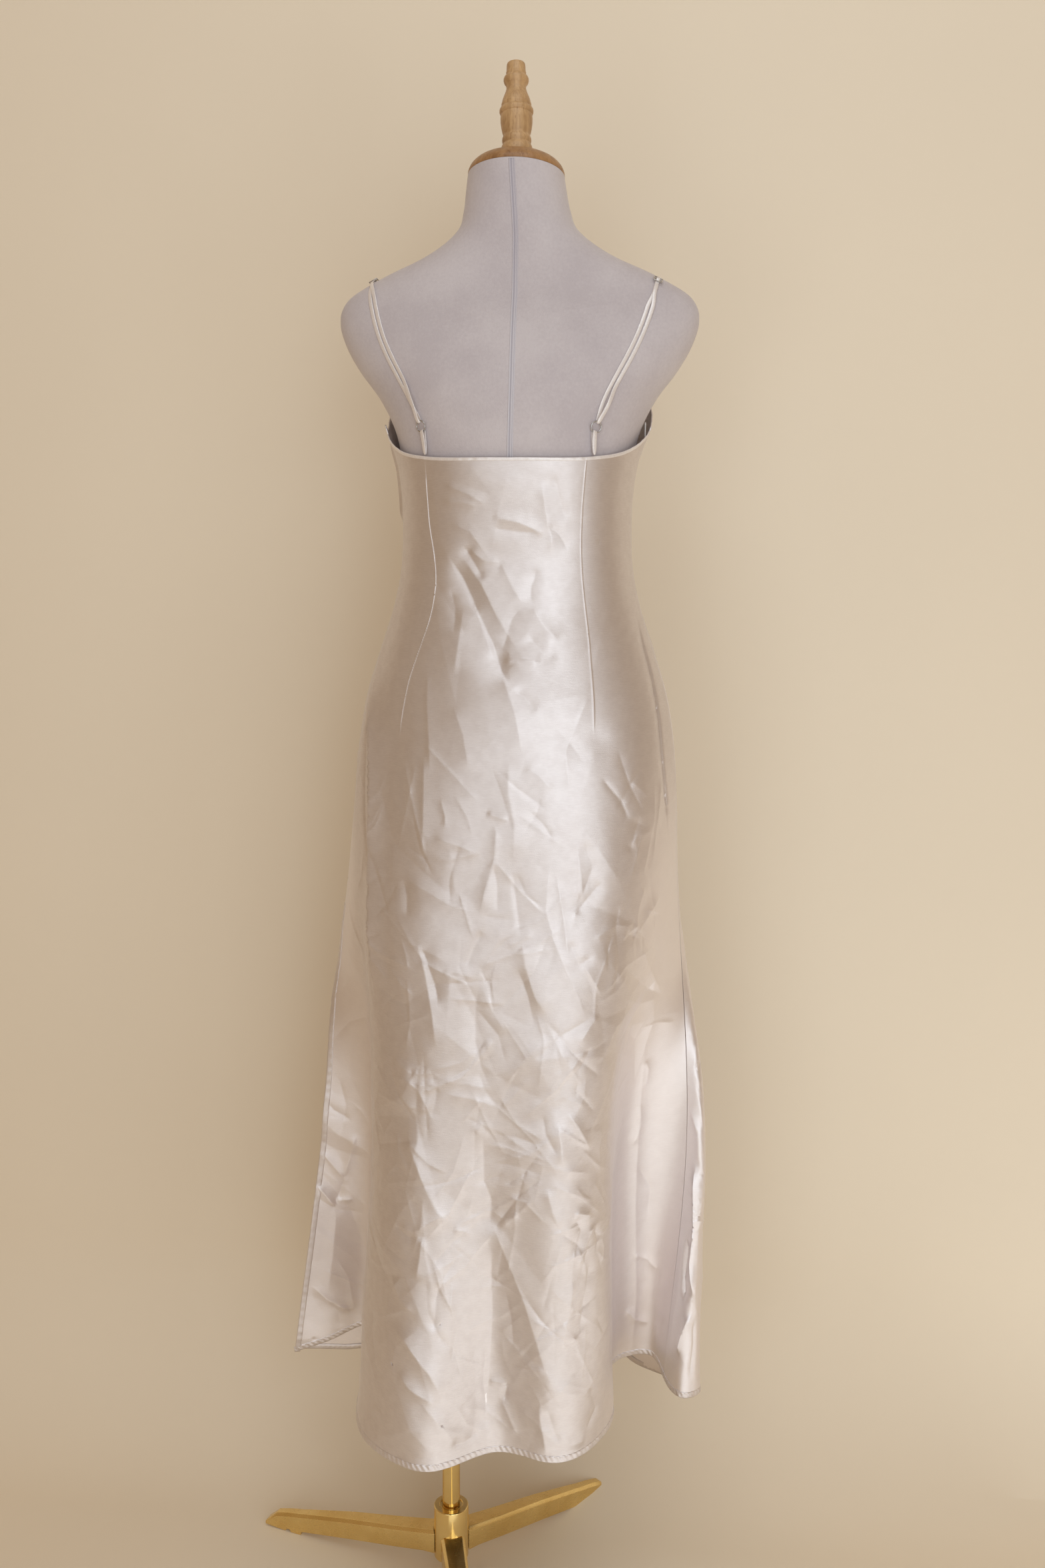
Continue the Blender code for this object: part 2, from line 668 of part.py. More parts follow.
def make_strap(name, run, slider_at, collection, parent):
    """A rouleau strap: from the front over the shoulder, through the slider and ring and back up."""
    low = STRAP_LIFT + STRAP_THICK / 2
    weave, _, pitch = slider_weave()
    side_by_side = STRAP_WIDTH / 2 + 0.0004
    loop_rise = (RING_WIRE + RING_SLACK + STRAP_THICK / 2) * 2
    path = []
    normals = []

    def put(length, height, aside, facing=1):
        point, normal = run.at(length, height, aside)
        path.append(point)
        normals.append(normal * facing)

    for length in np.linspace(run.lengths[-1], slider_at + pitch * 2, 20):
        put(length, low, 0)
    for offset, height in reversed(weave):
        put(slider_at + offset, height, 0)
    joined = slider_at - pitch * 3.0
    step = STRAP_THICK + GAP
    for t in (0.04, 0.09, 0.14, 0.20, 0.30, 0.42, 0.54, 0.66, 0.74, 0.80, 0.86, 0.92, 0.97):
        apart = ease((t - 0.04) / 0.10) * ease((1.0 - t) / 0.12)
        height = low + step * (1 - ease((t - 0.14) / 0.10)) + loop_rise * ease((t - 0.74) / 0.12)
        put(joined * (1 - t), height, side_by_side * apart)
    centre, outward = run.at(0.0, low + loop_rise / 2, 0)
    down = -run.direction(0.0)
    for degrees in (90, 45, 0, -45, -90):
        angle = math.radians(degrees)
        spoke = down * math.cos(angle) + outward * math.sin(angle)
        path.append(centre + spoke * loop_rise / 2)
        normals.append(spoke)
    for t in (0.97, 0.92, 0.86, 0.80, 0.66, 0.54, 0.42, 0.30, 0.20, 0.14, 0.09, 0.04, 0.0):
        apart = ease((t - 0.04) / 0.10) * ease((1.0 - t) / 0.12)
        put(joined * (1 - t), low, -side_by_side * apart, -1)
    put(slider_at - pitch, low, 0, -1)
    put(slider_at - pitch * 0.1, low, 0, -1)
    mesh = swept_band(name, path, normals, STRAP_WIDTH, STRAP_THICK)
    new_object(name, mesh, "satin", collection, parent)
    return centre, down, outward


def placed(obj, centre, x_axis, z_axis):
    """Turns and moves an object so that these are its own X and Z axes."""
    x = Vector(x_axis).normalized()
    z = Vector(z_axis)
    z = (z - x * x.dot(z)).normalized()
    y = z.cross(x)
    turn = Matrix((x, y, z)).transposed().to_4x4()
    obj.matrix_basis = Matrix.Translation(Vector(centre)) @ turn


def make_ring(name, centre, down, outward, collection, parent):
    bpy.ops.mesh.primitive_torus_add(
        major_radius=RING_RADIUS, minor_radius=RING_WIRE, major_segments=20, minor_segments=8
    )
    mesh = take_mesh(name)
    obj = new_object(name, mesh, "silver", collection, parent)
    placed(obj, centre + down * RING_RADIUS, down, outward)
    return obj


def make_tab(name, centre, down, outward, side, collection, parent):
    """A short loop of the strap's own tube: round the ring's lower wire and down to the top edge."""
    degrees = TAB_ANGLE if side > 0 else 180 - TAB_ANGLE
    top = neckline(BACK_NECKLINE, degrees)
    x, y = bodice_point(degrees, top)
    foot = np.array([x, y - CLOTH / 2, top + TAB_CLEAR])
    wire = centre + down * RING_RADIUS * 2
    reach = RING_WIRE + RING_SLACK + TAB_THICK / 2
    apart = (TAB_THICK + GAP) / 2
    path = []
    normals = []
    for t in (0.0, 0.35, 0.7, 0.9):
        wide = apart + (reach - apart) * t**2
        path.append(foot + (wire - foot) * t + outward * wide)
        normals.append(outward)
    for turn in (60, 20, -20, -60):
        angle = math.radians(turn)
        spoke = -down * math.cos(angle) + outward * math.sin(angle)
        path.append(wire + spoke * reach)
        normals.append(spoke)
    for t in (0.9, 0.7, 0.35, 0.0):
        wide = apart + (reach - apart) * t**2
        path.append(foot + (wire - foot) * t - outward * wide)
        normals.append(-outward)
    mesh = swept_band(name, path, normals, TAB_WIDTH, TAB_THICK)
    return new_object(name, mesh, "satin", collection, parent)


def make_slider(name, run, slider_at, collection, parent):
    """A three-bar slider: two side rails joined by an upper, a middle and a lower bar."""
    _, bars, pitch = slider_weave()
    low_point, normal = run.at(slider_at - pitch, bars[0], 0)
    high_point, _ = run.at(slider_at + pitch, bars[2], 0)
    centre = (low_point + high_point) / 2
    along = high_point - low_point
    across = np.cross(along, normal)
    length = np.linalg.norm(along) / 2
    inner = SLIDER_WIDTH / 2 - SLIDER_BAR * 2
    outer = SLIDER_WIDTH / 2
    bar = SLIDER_BAR
    stops = (-length - bar, -length + bar, -bar, bar, length - bar, length + bar)
    shape = bmesh.new()
    walls = (-outer, -inner, inner, outer)
    corners = [[[shape.verts.new((x, y, z)) for z in (-bar, bar)] for x in walls] for y in stops]
    for i in range(5):
        for j in range(3):
            if j == 1 and i in (1, 3):
                continue
            a, b, c, d = corners[i][j], corners[i][j + 1], corners[i + 1][j + 1], corners[i + 1][j]
            shape.faces.new((a[1], b[1], c[1], d[1]))
            shape.faces.new((d[0], c[0], b[0], a[0]))
            for (p, q), (di, dj) in (((a, b), (-1, 0)), ((b, c), (0, 1)), ((c, d), (1, 0)), ((d, a), (0, -1))):
                beyond = (i + di, j + dj)
                inside = 0 <= beyond[0] < 5 and 0 <= beyond[1] < 3
                if not inside or beyond in ((1, 1), (3, 1)):
                    shape.faces.new((p[0], q[0], q[1], p[1]))
    mesh = bpy.data.meshes.new(name)
    shape.to_mesh(mesh)
    shape.free()
    face_outwards(mesh)
    obj = new_object(name, mesh, "silver", collection, parent)
    placed(obj, centre, across, np.cross(across, along))
    bevel = obj.modifiers.new("rounding", "BEVEL")
    bevel.width = 0.0002
    bevel.segments = 1
    return obj


def make_zip_tape(name, collection, parent):
    """The tape behind the right side seam, its points taken from the cloth and moved inwards."""
    middle = len(BACK_FOLDS) - 1
    rows = 16
    grid = []
    for z in np.linspace(ZIP_TOP, ZIP_BOTTOM, rows + 1):
        plan = cloth_plan(z)
        seam = on_spline(*plan, middle)
        row = []
        for offset in np.linspace(-ZIP_TAPE_WIDTH / 2, ZIP_TAPE_WIDTH / 2, 5):
            direction = 1 if offset > 0 else -1
            scale = np.linalg.norm(on_spline(*plan, middle + direction * 0.3) - seam) / 0.3
            here = middle + offset / scale
            point = on_spline(*plan, here)
            step = on_spline(*plan, here + 0.02) - on_spline(*plan, here - 0.02)
            inward = np.array([-step[1], step[0]]) / np.linalg.norm(step)
            point = point + inward * (CLOTH + ZIP_TAPE_GAP)
            row.append((point[0], point[1], z))
        grid.append(row)
    obj = new_object(name, grid_mesh(name, np.array(grid)), "cotton", collection, parent)
    solidify(obj, ZIP_TAPE_THICK)
    return obj


def make_zip_pull(name, collection, parent):
    """A teardrop pull that stands above the closed zip."""
    plan = cloth_plan(ZIP_TOP)
    seam = on_spline(*plan, len(BACK_FOLDS) - 1)
    foot = Vector((seam[0] + CLOTH + PULL_GAP + PULL_THICK / 2, seam[1], ZIP_TOP + PULL_LIFT))
    outline = ((-1, 0.00), (-1, 0.30), (-0.55, 0.45), (-0.6, 0.62), (-1, 0.80), (-0.6, 0.95), (-0.2, 1.0))
    outline = outline + tuple((-y, z) for y, z in reversed(outline))
    sections = []
    for x in (PULL_THICK / 2, -PULL_THICK / 2):
        sections.append([foot + Vector((x, y * PULL_WIDTH / 2, z * PULL_HEIGHT)) for y, z in outline])
    mesh = loft_mesh(name, sections)
    mesh.shade_flat()
    return new_object(name, mesh, "pale enamel", collection, parent)


# ---------------------------------------------------------------- form and stand
def make_torso(collection, parent):
    """The jersey body, closed below and cut off at the neck."""
    angles = np.arange(TORSO_SEGMENTS) * 360 / TORSO_SEGMENTS
    sections = [[torso_point(row[0], a) for a in angles] for row in TORSO]
    return new_object("torso", loft_mesh("torso", sections), "jersey", collection, parent)


def make_base_plate(collection, parent):
    angles = np.arange(TORSO_SEGMENTS) * 360 / TORSO_SEGMENTS
    width, back, front = torso_sizes(TORSO_BOTTOM)
    top = TORSO_BOTTOM - GAP
    sections = []
    for inset, z in ((0.006, top - PLATE_THICK), (0.003, top - PLATE_THICK + 0.003), (0.003, top)):
        ring = [round_section(width - inset, back - inset, front - inset, a) for a in angles]
        sections.append([(x, y, z) for x, y in ring])
    mesh = loft_mesh("base_plate", sections)
    return new_object("base_plate", mesh, "wood", collection, parent)


def make_neck(collection, parent):
    """The wooden cap on the slanted neck and the turned finial that stands on it."""
    base = Vector((*NECK_CENTRE, NECK_TOP))
    slant = Matrix.Rotation(NECK_TILT, 4, "X")
    lean = slant @ Matrix.Rotation(FINIAL_LEAN, 4, "Y")
    up = slant @ Vector((0.0, 0.0, 1.0))
    seat = GAP * 2 + FINIAL_PROFILE[0][0] * math.sin(FINIAL_LEAN)
    for name, profile, height, turn in (
        ("neck_cap", CAP_PROFILE, GAP, slant),
        ("finial", FINIAL_PROFILE, CAP_HEIGHT + seat, lean),
    ):
        outline = [(0.0, profile[-1][1]), *reversed(profile), (0.0, profile[0][1])]
        obj = turned(name, outline, "wood", collection, parent)
        obj.matrix_basis = Matrix.Translation(base + up * height) @ turn


def make_stand(collection, parent):
    """Pole, hub, sleeve under the plate and three cast legs."""
    under_plate = TORSO_BOTTOM - GAP * 2 - PLATE_THICK
    bore = POLE_RADIUS + GAP
    bore_floor = HUB_TOP - HUB_BORE_DEPTH
    pole_foot = bore_floor + GAP
    location = (*POLE_AXIS, 0.0)
    bpy.ops.mesh.primitive_cylinder_add(
        vertices=24, radius=POLE_RADIUS, depth=under_plate - pole_foot
    )
    pole = new_object("pole", take_mesh("pole"), "brass", collection, parent)
    pole.location = (*POLE_AXIS, (under_plate + pole_foot) / 2)
    edge = 0.0008
    profile = (
        (0.0, bore_floor),
        (bore, bore_floor),
        (bore, HUB_TOP - HUB_GROOVE),
        (bore + 0.003, HUB_TOP - HUB_GROOVE),
        (bore + 0.003, HUB_TOP),
        (HUB_RADIUS - edge, HUB_TOP),
        (HUB_RADIUS, HUB_TOP - edge),
        (HUB_RADIUS, HUB_BOTTOM + edge),
        (HUB_RADIUS - edge, HUB_BOTTOM),
        (0.0, HUB_BOTTOM),
    )
    turned("hub", profile, "brass", collection, parent).location = location
    flange_foot = under_plate - FLANGE_THICK
    sleeve = (
        (bore, under_plate),
        (FLANGE_RADIUS, under_plate),
        (FLANGE_RADIUS, flange_foot),
        (SLEEVE_RADIUS, flange_foot),
        (SLEEVE_RADIUS, under_plate - SLEEVE_LENGTH),
        (bore, under_plate - SLEEVE_LENGTH),
    )
    obj = turned("pole_sleeve", sleeve, "brass", collection, parent, closed=True)
    obj.location = location
    for name, turn in (("leg_back", 0), ("leg_front_right", 120), ("leg_front_left", 240)):
        sections = [leg_section(*row, row is LEG_SECTIONS[0]) for row in LEG_SECTIONS]
        leg = new_object(name, loft_mesh(name, sections), "brass", collection, parent)
        leg.location = location
        leg.rotation_euler = (0.0, 0.0, math.radians(BACK_LEG_ANGLE + turn))


def leg_section(r, underside, top, width, at_hub):
    """Chamfered section of a leg that points along +X. The first one follows the hub's round side."""
    half = width / 2
    cut = min(0.0035, (top - underside) * 0.25)
    foot = min(0.0008, cut)
    across = np.linspace(-1, 1, 5)
    outline = [(half, top - cut)]
    outline += [(-y * (half - cut), top) for y in across]
    outline += [(-half, top - cut), (-half, underside + foot)]
    outline += [(y * (half - foot), underside) for y in across]
    outline += [(half, underside + foot)]
    points = []
    for y, z in outline:
        x = math.sqrt(r * r - y * y) if at_hub else r
        points.append((x, y, z))
    return points


def main():
    for obj in list(bpy.data.objects):
        bpy.data.objects.remove(obj, do_unlink=True)
    collection = bpy.data.collections.new("slip_dress_on_form")
    bpy.context.scene.collection.children.link(collection)
    parent = bpy.data.objects.new("form_middle", None)
    parent.location = PLACE
    collection.objects.link(parent)

    seam = len(BACK_FOLDS) - 1
    end = seam + len(FRONT_FOLDS) + 1
    back = panel_grid(0, seam, BACK_COLUMNS, BACK_NECKLINE)
    front = panel_grid(seam, end, FRONT_COLUMNS, FRONT_NECKLINE)
    draw_in(back, 0, front, -1)
    draw_in(back, -1, front, 0)
    make_panel("back_panel", back, collection, parent)
    make_panel("front_panel", front, collection, parent)
    for name, side, spread, beyond_ridge in (
        ("left", 1, LEFT_STRAP_SPREAD, LEFT_SLIDER),
        ("right", -1, RIGHT_STRAP_SPREAD, RIGHT_SLIDER),
    ):
        run = StrapRun(side, spread)
        slider_at = run.ridge + beyond_ridge
        centre, down, outward = make_strap("strap_" + name, run, slider_at, collection, parent)
        make_ring("ring_" + name, centre, down, outward, collection, parent)
        make_tab("tab_" + name, centre, down, outward, side, collection, parent)
        make_slider("slider_" + name, run, slider_at, collection, parent)
    make_zip_tape("zip_tape", collection, parent)
    make_zip_pull("zip_pull", collection, parent)
    make_torso(collection, parent)
    make_base_plate(collection, parent)
    make_neck(collection, parent)
    make_stand(collection, parent)


if __name__ == "__main__":
    main()
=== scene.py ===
"""Looks of a satin slip dress on a limbless dress form: cloth, seams, hardware, form, stand and studio."""

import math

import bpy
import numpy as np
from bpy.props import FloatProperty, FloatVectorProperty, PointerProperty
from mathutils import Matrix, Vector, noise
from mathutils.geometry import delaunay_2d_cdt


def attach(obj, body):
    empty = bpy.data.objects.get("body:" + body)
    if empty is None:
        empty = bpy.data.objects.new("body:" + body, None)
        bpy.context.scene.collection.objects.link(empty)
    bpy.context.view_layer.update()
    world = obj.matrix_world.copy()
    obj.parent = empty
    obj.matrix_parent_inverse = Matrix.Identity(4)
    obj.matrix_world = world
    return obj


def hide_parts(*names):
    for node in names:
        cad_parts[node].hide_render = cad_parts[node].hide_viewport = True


bl_info = {
    "name": "Slip dress on a dress form",
    "version": (1, 0, 0),
    "blender": (4, 5, 0),
    "location": "3D View > Sidebar > Slip Dress",
    "description": "Builds the creased satin, its seams and hems, the jersey form, the brass stand "
    "and the studio",
    "category": "Object",
}

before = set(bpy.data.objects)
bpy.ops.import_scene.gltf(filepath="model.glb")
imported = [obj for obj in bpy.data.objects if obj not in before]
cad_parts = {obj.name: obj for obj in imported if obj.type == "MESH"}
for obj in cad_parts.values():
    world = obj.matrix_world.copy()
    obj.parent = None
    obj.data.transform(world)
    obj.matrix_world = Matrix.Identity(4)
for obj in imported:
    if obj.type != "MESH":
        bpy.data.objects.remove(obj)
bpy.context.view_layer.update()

MM = 0.001
PLACE = np.array((-0.0521, -0.0341, -0.0095))  # the form's middle, where the tables below have their origin

# ---------------------------------------------------------------- the garment's shape, in metres
CLOTH = 0.0008  # wall of the satin
GAP = 0.0003
SLIT_TOP = 0.900
SEAM_TURN = 0.080
HIP_HEIGHT = 1.080
RIBS_HEIGHT = 1.310
STATIONS = (0.900, 0.600, 0.280)
ROUNDNESS = 0.93
HEM_HEIGHT = 0.280

BODICE = (
    # z, half_width, back, front
    (1.470, 0.1600, 0.0960, 0.0900),
    (1.440, 0.1530, 0.0995, 0.1120),
    (1.410, 0.1455, 0.1010, 0.1290),
    (1.380, 0.1345, 0.1000, 0.1360),
    (1.345, 0.1288, 0.0960, 0.1320),
    (1.310, 0.1275, 0.0910, 0.1230),
    (1.260, 0.1300, 0.0880, 0.1150),
    (1.220, 0.1385, 0.0905, 0.1110),
    (1.170, 0.1550, 0.1010, 0.1100),
    (1.120, 0.1710, 0.1140, 0.1120),
    (1.070, 0.1800, 0.1240, 0.1150),
    (1.020, 0.1850, 0.1310, 0.1190),
)
# Height of the neckline by the angle from the side seam towards the middle, in degrees.
BACK_NECKLINE = ((0, 1.411), (14, 1.397), (30, 1.386), (50, 1.380), (90, 1.378))
FRONT_NECKLINE = ((0, 1.411), (18, 1.438), (34, 1.452), (48, 1.458), (62, 1.436), (76, 1.411), (90, 1.402))
# Plan points of the cloth, from the slit edge round the back and the front to the slit edge again.
BACK_FOLDS = (
    # name, ribs, hips, slit x, y, knee x, y, hem x, y, hem height
    ("left seam", 4, 20, 0.1985, 0.000, 0.2345, -0.012, 0.2820, -0.021, 0.280),
    ("left flap", 17, 25, 0.1830, 0.040, 0.2000, -0.010, 0.2370, -0.037, 0.289),
    ("left valley", 28, 30, 0.1700, 0.062, 0.1700, 0.000, 0.1970, -0.058, 0.301),
    ("left wall", 37, 35, 0.1610, 0.078, 0.1570, 0.045, 0.1780, 0.030, 0.298),
    ("left fold", 46, 41, 0.1480, 0.098, 0.1485, 0.108, 0.1630, 0.135, 0.278),
    ("left lobe", 64, 62, 0.0880, 0.131, 0.0800, 0.158, 0.0750, 0.203, 0.276),
    ("centre back", 90, 90, 0.0000, 0.139, 0.0020, 0.152, 0.0000, 0.160, 0.278),
    ("right lobe", 116, 117, -0.0800, 0.132, -0.0700, 0.158, -0.0680, 0.176, 0.280),
    ("right fold", 134, 136, -0.1280, 0.106, -0.1155, 0.112, -0.1240, 0.108, 0.280),
    ("right wall", 145, 146, -0.1480, 0.084, -0.1220, 0.065, -0.1200, 0.030, 0.280),
    ("right valley", 156, 155, -0.1660, 0.055, -0.1320, 0.015, -0.1240, -0.040, 0.280),
    ("right flap", 169, 164, -0.1810, 0.022, -0.1680, -0.012, -0.1650, -0.060, 0.280),
    ("right seam", 182, 173, -0.1872, -0.012, -0.2050, -0.012, -0.1840, -0.028, 0.270),
)
FRONT_FOLDS = (
    ("right lobe", 195, 190, -0.1880, -0.034, -0.2230, -0.006, -0.2070, 0.016, 0.271),
    ("right outer edge", 208, 204, -0.1740, -0.064, -0.2220, -0.045, -0.2280, -0.012, 0.264),
    ("right return", 222, 219, -0.1430, -0.090, -0.1880, -0.098, -0.1900, -0.082, 0.240),
    ("right pocket", 238, 236, -0.1030, -0.110, -0.1400, -0.136, -0.1400, -0.124, 0.235),
    ("right front", 255, 254, -0.0500, -0.125, -0.0750, -0.158, -0.0850, -0.188, 0.236),
    ("centre front", 272, 271, 0.0050, -0.128, 0.0000, -0.146, 0.0000, -0.168, 0.238),
    ("left front", 289, 289, 0.0600, -0.122, 0.0700, -0.160, 0.0800, -0.196, 0.240),
    ("left front fold", 306, 307, 0.1120, -0.105, 0.1300, -0.140, 0.1560, -0.170, 0.244),
    ("left return", 322, 325, 0.1500, -0.080, 0.1620, -0.092, 0.1760, -0.104, 0.250),
    ("left under flap", 338, 343, 0.1760, -0.048, 0.1930, -0.046, 0.2200, -0.066, 0.258),
    ("left under edge", 351, 361, 0.1900, -0.022, 0.2150, -0.030, 0.2480, -0.050, 0.266),
)
FRONT_EDGE_SHIFT = (-0.0070, -0.0150)
FRONT_EDGE_HEM = 0.272
BACK_SEAM = len(BACK_FOLDS) - 1  # plan point of the right side seam
CENTRE_BACK = 6.0
CENTRE_FRONT = 18.0
DART_PITCH = 0.032  # metres of cloth per plan point at the darts
FRONT_EDGE = float(BACK_SEAM + len(FRONT_FOLDS) + 1)

# The two back darts: height and plan point of their line, from the top edge to their tips.
DARTS = (
    ("left", ((1.390, 4.20), (1.354, 4.11), (1.312, 4.14), (1.276, 4.36), (1.248, 4.50), (1.210, 4.55),
              (1.182, 4.51), (1.148, 4.46), (1.112, 4.47), (1.088, 4.47))),
    ("right", ((1.384, 7.55), (1.350, 7.55), (1.298, 7.50), (1.264, 7.48), (1.226, 7.45), (1.198, 7.41),
               (1.154, 7.30), (1.124, 7.24), (1.098, 7.20))),
)

